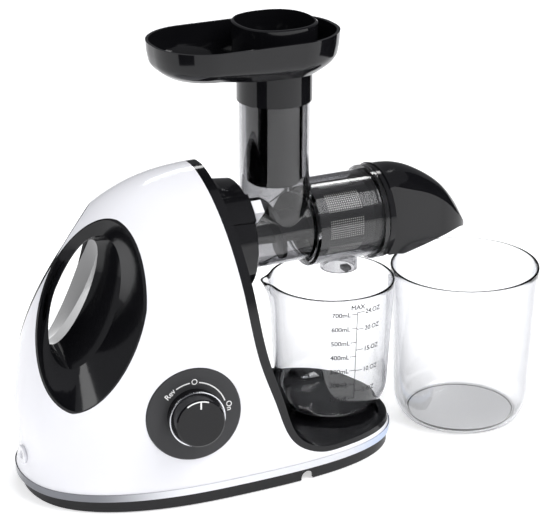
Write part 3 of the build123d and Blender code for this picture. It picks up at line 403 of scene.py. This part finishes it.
# %% The profile of a vessel
CORNER_R, CORNER_TURN, FOOT_IN, WALL = 4.0, math.radians(50.0), 1.0, 2.2
RING_WIDE, RING_TALL = 1.4, 1.0  # the ring under the floor that the vessel stands on
FINE_STEP, SOFT = 0.25, 7  # a fine step in mm, and how many a change of curvature is spread over
FLOOR_ROWS, CORNER_ROWS, WALL_ROWS, RIM_ROWS = 6, 64, 24, 9
FIRST_ROW, BEFORE_CORNER, PAST_CURVE = 0.1, 3.0, 4.0  # share of the floor, then mm either side


def wall_heading(low, top, foot_r, rim_r, lean):
    """The angle of the outside against the floor at fine steps: flat, corner, slow curve, straight."""
    flat, upright = foot_r - FOOT_IN, math.pi / 2 - lean
    corner_out = flat + CORNER_R * math.sin(CORNER_TURN)
    corner_up = CORNER_R * (1 - math.cos(CORNER_TURN))
    reach = rim_r - (top - low - corner_up) * math.tan(lean) - corner_out
    climb = math.cos(CORNER_TURN) - math.sin(lean)
    slow_r = reach / (math.cos(lean) - math.sin(CORNER_TURN) - climb * math.tan(lean))
    lengths = [0, flat, CORNER_R * CORNER_TURN, slow_r * (upright - CORNER_TURN)]
    ends = np.cumsum([*lengths, (top - low - corner_up - slow_r * climb) / math.cos(lean)])
    way = np.linspace(0, ends[-1], int(ends[-1] / FINE_STEP))
    heading = np.interp(way, ends, [0, 0, CORNER_TURN, upright, upright])
    padded = np.pad(heading, SOFT // 2, mode="edge")
    return way, np.convolve(padded, np.ones(SOFT) / SOFT, mode="valid"), ends


def kept_rows(way, ends):
    """Which fine steps stay as rows: a few on the floor, most round the corner, some up the wall."""
    floor_end, curve_end = ends[1] - BEFORE_CORNER, ends[3] + PAST_CURVE
    places = [
        [0], np.linspace(ends[1] * FIRST_ROW, floor_end, FLOOR_ROWS),
        np.linspace(floor_end, curve_end, CORNER_ROWS), np.linspace(curve_end, ends[-1], WALL_ROWS),
    ]
    rows = np.rint(np.concatenate(places) / way[1]).astype(int)
    return np.unique(np.minimum(rows, len(way) - 1))


def vessel_profile(low, top, foot_r, rim_r, draft, floor):
    """Radius and height are running sums of the cosine and sine of the heading along the wall."""
    lean = math.radians(draft)
    way, heading, ends = wall_heading(low, top, foot_r, rim_r, lean)
    radius = np.cumsum(np.cos(heading)) * way[1] - way[1]
    height = np.cumsum(np.sin(heading)) * way[1]
    radius *= rim_r / radius[-1]
    height = low + height * (top - WALL / 2 - low) / height[-1]
    thick = floor + (WALL - floor) * eased(heading / CORNER_TURN)
    keep = kept_rows(way, ends)
    out = np.stack([radius, height], axis=1)[keep]
    away = np.stack([np.sin(heading), -np.cos(heading)], axis=1)[keep]
    inner = out - away * thick[keep, None]
    half_turn = np.linspace(0, math.pi, RIM_ROWS)[1:-1, None]
    up_wall = np.array([math.sin(lean), math.cos(lean)])
    round_rim = away[-1] * np.cos(half_turn) + up_wall * np.sin(half_turn)
    rim = (out[-1] + inner[-1]) / 2 + WALL / 2 * round_rim
    out[:, 1] += RING_TALL * eased((ends[1] - RING_WIDE - out[:, 0]) / (RING_WIDE / 2))
    out[0, 0] = inner[0, 0] = 0.0
    return np.concatenate([out, rim, inner[::-1]])


print("the corner turns through", round(math.degrees(CORNER_TURN)), "degrees before the slow curve")

# %% Turn a profile round its axis
AROUND = 240  # points round a turned piece


def turned_piece(name, middle, profile, body, node, slot, push=None, frame_axes=np.eye(3)):
    """Carries a profile round an axis: x = r cos a, y = r sin a, with r pushed out where asked."""
    angles = np.arange(AROUND) * 2 * math.pi / AROUND
    ring, level = profile[1:-1, 0][:, None], profile[1:-1, 1][:, None]
    radius = ring + (push(angles, level) if push else np.zeros(AROUND))
    grid = np.stack([radius * np.cos(angles), radius * np.sin(angles), level + 0 * radius], axis=-1)
    poles = [[0, 0, profile[0, 1]], [0, 0, profile[-1, 1]]]
    points = np.concatenate([grid.reshape(-1, 3), poles]) @ frame_axes + middle
    here = np.arange(AROUND)
    there = (here + 1) % AROUND
    low = (np.arange(len(ring) - 1) * AROUND)[:, None]
    high = low + AROUND
    sides = np.stack([low + here, low + there, high + there, high + here], axis=-1)
    first_pole = len(ring) * AROUND
    last_ring = first_pole - AROUND
    start = np.stack([np.full(AROUND, first_pole), there, here], axis=1)
    end = np.stack([np.full(AROUND, first_pole + 1), last_ring + here, last_ring + there], axis=1)
    faces = [*sides.reshape(-1, 4).tolist(), *start.tolist(), *end.tolist()]
    piece = make_piece(name, points, faces, body, finishes[slot])
    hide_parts(node)
    print(name, "has", len(faces), "faces")


# %% The jug
JUG_MIDDLE = np.array([53.0, 10.4])
JUG_LOW, JUG_TOP = 26.35, 142.2
JUG_FORM = {"foot_r": 40.0, "rim_r": 55.2, "draft": 3.3, "floor": 3.2}
LIP_TURN, LIP_WIDE, LIP_OUT, LIP_TALL = math.radians(161.0), 0.17, 7.3, 24.0


def pouring_lip(angles, level):
    """A bell curve round the rim, times the square of the rise over the last part of the wall."""
    off = (angles - LIP_TURN + math.pi) % (2 * math.pi) - math.pi
    rise = np.clip((level - JUG_TOP + LIP_TALL) / LIP_TALL, 0, 1)
    return LIP_OUT * np.exp(-((off / LIP_WIDE) ** 2)) * rise**2


jug_profile = vessel_profile(JUG_LOW, JUG_TOP, **JUG_FORM)
turned_piece("clear_jug", [*JUG_MIDDLE, 0], jug_profile, "jug", "juice_jug", "clear", pouring_lip)

# %% The cup, from the box of its solid
CUP_FOOT_R, CUP_DRAFT, CUP_FLOOR = 50.0, 2.7, 4.5
cup_low, cup_high = (np.array(corner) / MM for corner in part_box("pulp_cup"))
cup_rim_r = (cup_high - cup_low)[0] / 2
cup_profile = vessel_profile(0.0, cup_high[2], CUP_FOOT_R, cup_rim_r, CUP_DRAFT, CUP_FLOOR)
cup_middle = [*(cup_low + cup_high)[:2] / 2, 0]
turned_piece("clear_cup", cup_middle, cup_profile, "cup", "pulp_cup", "clear")

# %% [markdown]
# ## Pulp nose
# Seen from above the nose ends in a round tip, and its underside runs nearly straight up to it. A copy
# of the solid's own mesh keeps its ring, its openings and its wall, and is bent the way clay would be:
# every point moves by an amount that depends on how far along the nose it is and how high it sits. The
# triangles are cut smaller first, so that the bend comes out smooth.

# %% A copy of a solid's mesh, merged and cut
def merged_copy(node):
    """Points in millimetres and corners of a solid's triangles, with equal points made one."""
    mesh = nodes[node].data
    loose = np.empty(len(mesh.vertices) * 3)
    mesh.vertices.foreach_get("co", loose)
    corners = np.empty(len(mesh.polygons) * 3, int)
    mesh.polygons.foreach_get("vertices", corners)
    rounded = np.round(loose.reshape(-1, 3) / MM, 4)
    points, which = np.unique(rounded, axis=0, return_inverse=True)
    return points, which.ravel()[corners].reshape(-1, 3)


def halved(points, corners):
    """Cuts every triangle into four, at the middles of its edges."""
    pairs = np.sort(corners[:, [[0, 1], [1, 2], [2, 0]]], axis=2)
    edges, which = np.unique(pairs.reshape(-1, 2), axis=0, return_inverse=True)
    (a, b, c), (ab, bc, ca) = corners.T, len(points) + which.reshape(-1, 3).T
    cut = [(a, ab, ca), (ab, b, bc), (ca, bc, c), (ab, bc, ca)]
    middles = points[edges].mean(axis=1)
    return np.concatenate([points, middles]), np.concatenate([np.stack(t, axis=1) for t in cut])


SHARP = math.radians(25)  # edges that turn more than this stay sharp


def bent_piece(name, node, bend, body, slot="black_gloss"):
    """A copy of a solid, cut smaller, with every point moved by the bend, that stands for the solid."""
    points, corners = halved(*merged_copy(node))
    piece = make_piece(name, bend(points), corners, body, finishes[slot])
    piece.data.set_sharp_from_angle(angle=SHARP)
    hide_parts(node)
    print(name, "has", len(corners), "triangles")


# %% How the nose changes along its length
NOSE_X = np.array([93.0, 103, 119, 134, 149, 165, 177, 185])  # stations from root to tip, in mm
CROWN = np.array([239.5, 238.5, 236, 228.5, 217.5, 202, 186.5, 174.5])
UNDERSIDE = np.array([166.0, 166.5, 169.5, 172.5, 175.5, 177, 173.5, 168])
UNDERSIDE_SHIFT = np.array([-1.5, -2.6, -3.2, -3.5, -2.7, -1.6, 1.4, 2.6])
shift_curve = np.polyfit(NOSE_X, UNDERSIDE_SHIFT, 5)
TIP_X = NOSE_X[-1]
BEND_FROM, BEND_EASE = 97.5, 12.0  # the ring before this place stays as it is
LIFT_FROM, CROWN_LIFT, LIFT_LATE = 112.0, 3.3, 1.8  # the crown is lifted most past the middle
TIP_BACK, ROUND_FROM, ROUND_LONG, ROUND_DEEP = 4.1, 147.0, 34.0, 0.95
HALF_WIDE, TAPER = 24.7, 0.124  # half the nose's width where the rounding starts, and its taper
print("the crown falls by", CROWN[0] - CROWN[-1], "mm from root to tip")


# %% Bend the nose
def bend_nose(points):
    """Width times an ellipse's quarter, tip drawn back, crown and underside moved up or down."""
    x, y, z = points.T
    past_round = np.clip((x - ROUND_FROM) / (TIP_X - ROUND_FROM), 0, 1)
    back = x - TIP_BACK * past_round**2
    rounding = np.clip((back - ROUND_FROM) / ROUND_LONG, 0, 1)
    straight = HALF_WIDE / (HALF_WIDE - TAPER * np.clip(x - ROUND_FROM, 0, None))
    ellipse = np.sqrt(1 - ROUND_DEEP * rounding**2) * straight
    narrow = np.where(rounding > 0, ellipse, 1)
    low, high = np.interp(x, NOSE_X, UNDERSIDE), np.interp(x, NOSE_X, CROWN)
    level = np.clip((z - low) / (high - low), 0, 1)
    along = np.clip((x - LIFT_FROM) / (TIP_X - LIFT_FROM), 0, 1)
    crown_rise = CROWN_LIFT * np.sin(math.pi * along**LIFT_LATE)
    underside_rise = np.polyval(shift_curve, np.clip(x, NOSE_X[0], TIP_X))
    rise = level * crown_rise + (1 - level) * underside_rise
    rise *= eased((x - BEND_FROM) / BEND_EASE)
    return np.stack([back, SCREW_Y + (y - SCREW_Y) * narrow, z + rise], axis=1)


bent_piece("round_nose", "end_cap", bend_nose, "end_cap")

# %% [markdown]
# ## Tray and pusher
# The tray is a dish: its wall leans in towards the floor, and the floor rises away from the chute, so
# that cut fruit slides down to it. The pusher's head is a wide cup with slightly square corners. Both
# are bent copies as well. The tray's points move towards its middle line, the pusher's away from the
# middle of the chute.

# %% Bend the tray
CHUTE_AT = np.array([-2.0, 10.4])
TRAY_LINE = (-63.0, -1.0)  # the ends of the tray's middle line, in x
TRAY_FLOOR, TRAY_RIM, TRAY_HALF = 337.0, 369.5, 48.0
SLEEVE_R, WALL_IN_R = 31.7, 45.6  # no lean up to the sleeve, full lean from the wall's inside on
LEAN_IN, REACH_OUT = 5.5, 5.0  # how far the wall's foot leans in, and its front end reaches out
FLOOR_RISE, RISE_FROM, RISE_OVER = 5.5, 33.0, 42.0
TINY = 1e-6  # keeps a division from zero on the middle line


def bend_tray(points):
    """The way to the middle line shrinks with depth squared, and the floor rises off the chute."""
    x, y, z = points.T
    middle = np.stack([np.clip(x, *TRAY_LINE), np.full(len(x), SCREW_Y)], axis=1)
    off = points[:, :2] - middle
    away = np.maximum(np.linalg.norm(off, axis=1), TINY)
    deep = np.clip((TRAY_RIM - z) / (TRAY_RIM - TRAY_FLOOR), 0, 1)
    wall = eased((away - SLEEVE_R) / (WALL_IN_R - SLEEVE_R))
    flat = middle + off * (1 - LEAN_IN * deep**2 * wall / away)[:, None]
    flat[:, 0] += REACH_OUT * wall * np.clip((x - TRAY_LINE[1]) / TRAY_HALF, 0, 1) ** 2
    from_chute = np.linalg.norm(points[:, :2] - CHUTE_AT, axis=1)
    rise = FLOOR_RISE * deep * eased((from_chute - RISE_FROM) / RISE_OVER)
    return np.column_stack([flat, z + rise])


bent_piece("dished_tray", "feed_tray", bend_tray, "tray")

# %% Bend the pusher
HEAD_FROM, HEAD_OVER = 341.0, 11.0  # the head widens from this height, over this much of it
HEAD_WIDER, HEAD_SQUARE = 0.10, 0.03


def bend_pusher(points):
    """Above the tray's floor the way from the middle grows, a little more towards four corners."""
    off = points[:, :2] - CHUTE_AT
    corners = -np.cos(4 * np.arctan2(off[:, 1], off[:, 0]))
    head = eased((points[:, 2] - HEAD_FROM) / HEAD_OVER)
    wider = 1 + head * (HEAD_WIDER + HEAD_SQUARE * corners)
    return np.column_stack([CHUTE_AT + off * wider[:, None], points[:, 2]])


bent_piece("wide_pusher", "food_pusher", bend_pusher, "pusher")

# %% [markdown]
# ## Cord bushing
# The cord leaves the shell through a soft grommet in the middle of its rear, moulded in the shell's
# white. It is a turned piece too: a flat flange with a round edge against the shell, and a sleeve that
# goes in through the wall.

# %% Cord bushing
BUSH_EXIT = np.array([-233.5, 10.4, 34.0])  # where the cord's line meets the shell
BUSH_AXES = np.array([[0, 1, 0], [0, 0, 1], [1, 0, 0]])  # a turned profile's z goes inwards
FLANGE_R, EDGE_R = 8.0, 1.2  # the line below gives radii and how far in they are, in mm
edge_turn = np.linspace(math.pi / 2, 0, 7)
edge_out = FLANGE_R - EDGE_R + EDGE_R * np.cos(edge_turn)
flange = np.stack([edge_out, -EDGE_R - EDGE_R * np.sin(edge_turn)], axis=1)
bush_line = [(0, 4.0), (2.9, 4.0), (3.0, 3.6), (3.0, -2.0), (3.4, -2.4), *flange.tolist()]
bush_line += [(FLANGE_R, 0.2), (5.4, 0.4), (5.3, 1.0), (5.3, 8.6), (5.0, 9.0), (0, 9.0)]
turned_piece(
    "cord_grommet", BUSH_EXIT, np.array(bush_line), "machine", "cord_bushing", "white_shell",
    frame_axes=BUSH_AXES,
)

# %% [markdown]
# ## Printed marks
# The words and lines on the dial, the knob and the jug are pad printed: a film of ink that follows
# the surface. Each mark is drawn flat in millimetres, as ribbons along a line or as letters, and then
# laid on its surface by a function that turns flat places into points in space.

# %% Flat ribbons
def ribbon(line, width):
    """A strip along a line: each point moves half the width to both sides, square to the line."""
    line = np.asarray(line, float)
    along = np.gradient(line, axis=0)
    along /= np.linalg.norm(along, axis=1, keepdims=True)
    side = np.stack([-along[:, 1], along[:, 0]], axis=1) * width / 2
    flat = np.stack([line + side, line - side], axis=1).reshape(-1, 2)
    return flat, grid_faces(len(line), 2)


ARC_POINTS = 48


def arc(radius, start, end, width, centre=(0, 0)):
    """A ribbon round a centre between two angles in degrees."""
    turn = np.radians(np.linspace(start, end, ARC_POINTS))
    line = np.stack([np.cos(turn), np.sin(turn)], axis=1) * radius + centre
    return ribbon(line, width)


print("an arc has", len(arc(10, 0, 90, 1)[0]), "points")

# %% Letters a little bolder than their font
STROKE, SHARPEST = 0.11, 0.4  # letters widen by this many mm to each side, with a limit at corners
CAPITAL = 0.7  # a capital's height over the size of its font


def widened(flat, faces):
    """Moves each outline point along the sum of its two edges' normals over one plus their cosine."""
    pairs = [pair for face in faces for pair in zip(face, face[1:] + face[:1])]
    inner = {(b, a) for a, b in pairs}
    start, end = np.array([pair for pair in pairs if pair not in inner]).T
    along = flat[end] - flat[start]
    along /= np.linalg.norm(along, axis=1, keepdims=True)
    leaving, coming = np.zeros_like(flat), np.zeros_like(flat)
    leaving[start] = coming[end] = np.stack([along[:, 1], -along[:, 0]], axis=1)
    cosine = (leaving * coming).sum(axis=1, keepdims=True)
    return flat + STROKE * (leaving + coming) / np.maximum(1 + cosine, SHARPEST)


def letters(words, tall, align="CENTER"):
    """The flat mesh of a word, with capitals of this height and its middle line at zero."""
    text = bpy.data.curves.new(words, "FONT")
    text.body, text.size, text.align_x = words, tall / CAPITAL, align
    text.resolution_u = 4
    carrier = bpy.data.objects.new(words, text)
    mesh = bpy.data.meshes.new_from_object(carrier)
    flat = np.empty(len(mesh.vertices) * 3)
    mesh.vertices.foreach_get("co", flat)
    faces = [tuple(p.vertices) for p in mesh.polygons]
    bpy.data.objects.remove(carrier)
    return widened(flat.reshape(-1, 3)[:, :2], faces) - (0, tall / 2), faces


print("letters get", 2 * STROKE, "mm bolder")


# %% Turn flat marks and print them
def turned(flat, degrees, to):
    """Turns flat points about the origin, then moves them."""
    c, s = math.cos(math.radians(degrees)), math.sin(math.radians(degrees))
    return flat @ np.array([[c, s], [-s, c]]) + to


def print_marks(name, marks, lay, body, ink):
    """Joins flat marks into one mesh and lays it on its surface."""
    points, faces, first = [], [], 0
    for flat, corners in marks:
        points.append(flat)
        faces += [tuple(int(c) + first for c in corner) for corner in corners]
        first += len(flat)
    make_piece(name, lay(np.concatenate(points)), faces, body, ink, smooth=False)
    print(name, "has", len(marks), "marks")


print("a quarter turn takes (1, 0) to", turned(np.array([1.0, 0.0]), 90, (0, 0)).round(3))

# %% [markdown]
# ## Ink
# White ink on the dial and the knob, black ink on the jug. A printed film is a little rough and never
# quite even, so its colour drifts and a fine grain breaks its shine.

# %% Ink
white_ink = moulded("white ink", (0.90, 0.90, 0.89), (0.80, 0.80, 0.79), 0.45, 0.15, 0.5, 0.004)
black_ink = moulded(
    "black ink", (0.020, 0.020, 0.022), (0.010, 0.010, 0.012), 0.40, 0.15, 0.5, 0.004
)
print("two inks")

# %% The face of the dial
DIAL_MIDDLE = np.array([-116.4, -76.2, 83.5])  # in mm, on the plate's face
DIAL_TURN, DIAL_TILT = math.radians(8.0), math.radians(3.3)
DIAL_WORDS, INK_DEEP = 4.6, 0.06
dial_across = np.array([math.cos(DIAL_TURN), -math.sin(DIAL_TURN), 0.0])
level_out = np.array([-math.sin(DIAL_TURN), -math.cos(DIAL_TURN), 0.0])
dial_out = level_out * math.cos(DIAL_TILT) + np.array([0.0, 0.0, math.sin(DIAL_TILT)])
dial_up = np.cross(dial_out, dial_across)


def on_dial(height):
    """Flat x goes across the dial, flat y up it, at a height over its face."""
    return lambda flat: DIAL_MIDDLE + flat @ np.stack([dial_across, dial_up]) + height * dial_out


def at_angle(radius, degrees):
    """The flat place at a radius and an angle."""
    return radius * np.array([math.cos(math.radians(degrees)), math.sin(math.radians(degrees))])


def around_dial(words, radius, degrees):
    """A word whose middle stands on a circle, reading along it clockwise."""
    flat, faces = letters(words, DIAL_WORDS)
    return turned(flat, degrees - 90, at_angle(radius, degrees)), faces


print("the dial faces", np.round(dial_out, 3))

# %% Marks on the dial
ARC_R, ARC_WIDE = 27.6, 1.1
RING_R, RING_LINE, RING_AT = 2.1, 0.8, at_angle(28.2, 87.5)  # the small ring that stands for off
dial_marks = [
    arc(ARC_R, 121, 95.5, ARC_WIDE),
    arc(RING_R, 0, 360, RING_LINE, centre=RING_AT),
    arc(ARC_R, 79.5, 18, ARC_WIDE),
    around_dial("Rev", 28.0, 134.5),
    around_dial("On", 30.2, 7.0),
]
print_marks("dial_marks", dial_marks, on_dial(INK_DEEP), "machine", white_ink)

# %% Marks on the knob
KNOB_TALL, KNOB_ARC_R = 21.0, 18.9
POINTER, POINTER_WIDE = [(0.6, 18.6), (0.5, 15.5), (0.4, 12.4)], 1.3
knob_marks = [arc(KNOB_ARC_R, 125, 68, ARC_WIDE), ribbon(POINTER, POINTER_WIDE)]
print_marks("knob_marks", knob_marks, on_dial(KNOB_TALL + INK_DEEP), "knob", white_ink)

# %% [markdown]
# ## The jug's scale
# Millilitres stand to the left of an upright line and ounces to its right. The jug widens towards its
# rim, so the print follows a cone: the flat x becomes an angle, by the length over the radius at that
# height, and the flat y is the height itself. The radius is read from the jug's own profile.

# %% The wall that the scale is printed on
LINE_TURN = math.radians(-93.2)  # where the upright line stands on the jug
WALL_FROM = 8.0  # the profile is read from this far above the jug's foot
wall_points = jug_profile[: len(jug_profile) // 2]
wall_points = wall_points[wall_points[:, 1] > JUG_LOW + WALL_FROM]


def on_jug(flat):
    """Flat x is the way round the wall, flat y the height."""
    radius = np.interp(flat[:, 1], wall_points[:, 1], wall_points[:, 0]) + INK_DEEP
    angle = LINE_TURN + flat[:, 0] / radius
    x, y = JUG_MIDDLE[0] + radius * np.cos(angle), JUG_MIDDLE[1] + radius * np.sin(angle)
    return np.stack([x, y, flat[:, 1]], axis=1)


print("the wall is read at", len(wall_points), "heights")

# %% The jug's scale
FIRST_ML, FIRST_LEVEL, RISE_PER_ML = 100, 48.0, 0.134
OUNCE = 29.57  # in millilitres
SCALE_LINE, LINE_POINTS, LABEL = 0.6, 9, 4.2
MAX_RIGHT, MAX_OVER = 0.5, 5.0
LEFT_TICK, LEFT_LABEL = (-5.5, -2.7, 0), -5.9
RIGHT_TICK, RIGHT_LABEL = (0, 3.5, 6.8), 7.6


def level_of(millilitres):
    """Height of a volume's mark: 13.4 mm for every 100 ml."""
    return FIRST_LEVEL + (millilitres - FIRST_ML) * RISE_PER_ML


def scale_mark(level, tick, label_x, words, align):
    """A tick beside the upright line, and its label at the same level."""
    flat, faces = letters(words, LABEL, align)
    return [ribbon([(x, level) for x in tick], SCALE_LINE), (flat + (label_x, level), faces)]


top_mark = level_of(24 * OUNCE)
upright = [(0, z) for z in np.linspace(FIRST_LEVEL, top_mark, LINE_POINTS)]
scale = [ribbon(upright, SCALE_LINE)]
for volume in range(100, 800, 100):
    scale += scale_mark(level_of(volume), LEFT_TICK, LEFT_LABEL, f"{volume}mL", "RIGHT")
for ounces in (5, 10, 15, 20, 24):
    level = level_of(ounces * OUNCE)
    scale += scale_mark(level, RIGHT_TICK, RIGHT_LABEL, f"{ounces}.OZ", "LEFT")
flat, faces = letters("MAX", LABEL)
scale.append((flat + (MAX_RIGHT, top_mark + MAX_OVER), faces))
print_marks("jug_scale", scale, on_jug, "jug", black_ink)

# %% [markdown]
# ## Table and light
# The table is a pale sheet lit a little from below, which keeps it near white and the shadows faint.
# Gloss plastic shows whatever stands round it. A bright table under a dim sky gives the black parts
# grey sides and near-black tops, and slim softboxes add the long highlights. Where the camera looks
# past the table it sees the sky as pale as the table, so that no horizon shows. The main light would
# show as a white patch in every gloss part, so it is hidden from reflections, as a polarising filter
# does in a studio.

# %% Table
REACH, SPOTS, LEVEL = 6000.0, 9, -0.2  # the sheet lies just under the feet, in mm
table = Finish("pale table", Emission_Strength=0.55, Specular_IOR_Level=0.1)
table.shader.inputs["Emission Color"].default_value = (1, 1, 1, 1)
table_finish = table.feed(
    Base_Color=table.blend(table.cloud(200.0), (0.80, 0.80, 0.81), (0.83, 0.83, 0.83)),
    Roughness=0.6 + 0.1 * table.cloud(40.0),
)
line = np.linspace(-REACH, REACH, SPOTS)
x, y = np.meshgrid(line, line)
spread = np.stack([x, y, np.full_like(x, LEVEL)], axis=-1).reshape(-1, 3)
floor = make_piece("table", spread, grid_faces(SPOTS, SPOTS), None, table_finish)
print("a table of", round(2 * REACH * MM), "metres")

# %% Sky
BRIGHT_SIDE = (-0.55, -0.75, 0.25)  # the way to the sky's brighter side
SKY_RAMP = {"From Min": -0.5, "From Max": 1.0, "To Min": 0.18, "To Max": 0.62}
world = bpy.data.worlds.new("studio")
world.use_nodes = True
bpy.context.scene.world = world
sky = world.node_tree
direction = sky.nodes.new("ShaderNodeTexCoord")
facing = sky.nodes.new("ShaderNodeVectorMath")
facing.operation = "DOT_PRODUCT"
facing.inputs[1].default_value = BRIGHT_SIDE
ramp = sky.nodes.new("ShaderNodeMapRange")
ramp.interpolation_type = "SMOOTHSTEP"
for socket, value in SKY_RAMP.items():
    ramp.inputs[socket].default_value = value
sky.links.new(direction.outputs["Generated"], facing.inputs[0])
sky.links.new(facing.outputs["Value"], ramp.inputs["Value"])
background = sky.nodes["Background"]
background.inputs["Color"].default_value = (0.95, 0.96, 1.0, 1)
ray = sky.nodes.new("ShaderNodeLightPath")  # one where the camera sees the sky itself
backdrop = sky.nodes.new("ShaderNodeMath")
backdrop.operation = "MAXIMUM"
sky.links.new(ramp.outputs["Result"], backdrop.inputs[0])
sky.links.new(ray.outputs["Is Camera Ray"], backdrop.inputs[1])
sky.links.new(backdrop.outputs["Value"], background.inputs["Strength"])
print("a sky that is dim in reflections and pale behind the table")

# %% Softboxes
LIT = Vector((0, 0, 0.2))  # the place that the lights face, in metres


def softbox(name, place, wide, tall, power, mirrored=True):
    """A rectangular light that faces the middle of the object."""
    light = bpy.data.lights.new(name, "AREA")
    light.shape, light.size, light.size_y, light.energy = "RECTANGLE", wide, tall, power
    lamp = bpy.data.objects.new(name, light)
    lamp.location = place
    lamp.rotation_euler = (LIT - lamp.location).to_track_quat("-Z", "Y").to_euler()
    lamp.visible_glossy = mirrored
    bpy.context.scene.collection.objects.link(lamp)


softbox("main_light", (0.9, -1.3, 2.0), 1.4, 1.4, 42, mirrored=False)
softbox("softbox_left", (-2.0, 0.3, 1.5), 0.5, 1.6, 10)
softbox("softbox_right", (1.9, -0.6, 1.2), 0.35, 1.8, 8)
softbox("softbox_behind", (0.45, 0.95, 1.5), 1.2, 0.22, 9)
bpy.context.scene.view_settings.view_transform = "Standard"
print("four softboxes")

# %% [markdown]
# ## Black cards
# A studio puts black cards beside a gloss object, out of the picture. They draw dark bands down its
# black sides and dark rims on its clear walls, which show where a surface turns. Each card here is a
# slightly bowed sheet on its edge. It is seen in reflections and through clear walls only, and takes
# no light away.

# %% Black cards
CARD_AWAY, CARD_FOOT, CARD_ROWS, CARD_COLUMNS = 700.0, 5.0, 5, 9
card_black = moulded(
    "card black", (0.004, 0.004, 0.004), (0.002, 0.002, 0.002), 0.9, 0.05, 5.0, 0.01,
    Specular_IOR_Level=0.0,
)


def black_card(name, from_turn, to_turn, tall):
    """A sheet on an arc round the object: x and y are its distance times cosine and sine, z is up."""
    across = np.radians(np.linspace(from_turn, to_turn, CARD_COLUMNS))
    turn, up = np.meshgrid(across, np.linspace(CARD_FOOT, tall, CARD_ROWS))
    points = np.stack([CARD_AWAY * np.cos(turn), CARD_AWAY * np.sin(turn), up], axis=-1)
    card = make_piece(
        name, points.reshape(-1, 3), grid_faces(CARD_ROWS, CARD_COLUMNS), None, card_black
    )
    card.visible_camera = card.visible_diffuse = card.visible_shadow = False


black_card("card_left", 190, 222, 900.0)
black_card("card_right", -28, 22, 700.0)
print("two cards")
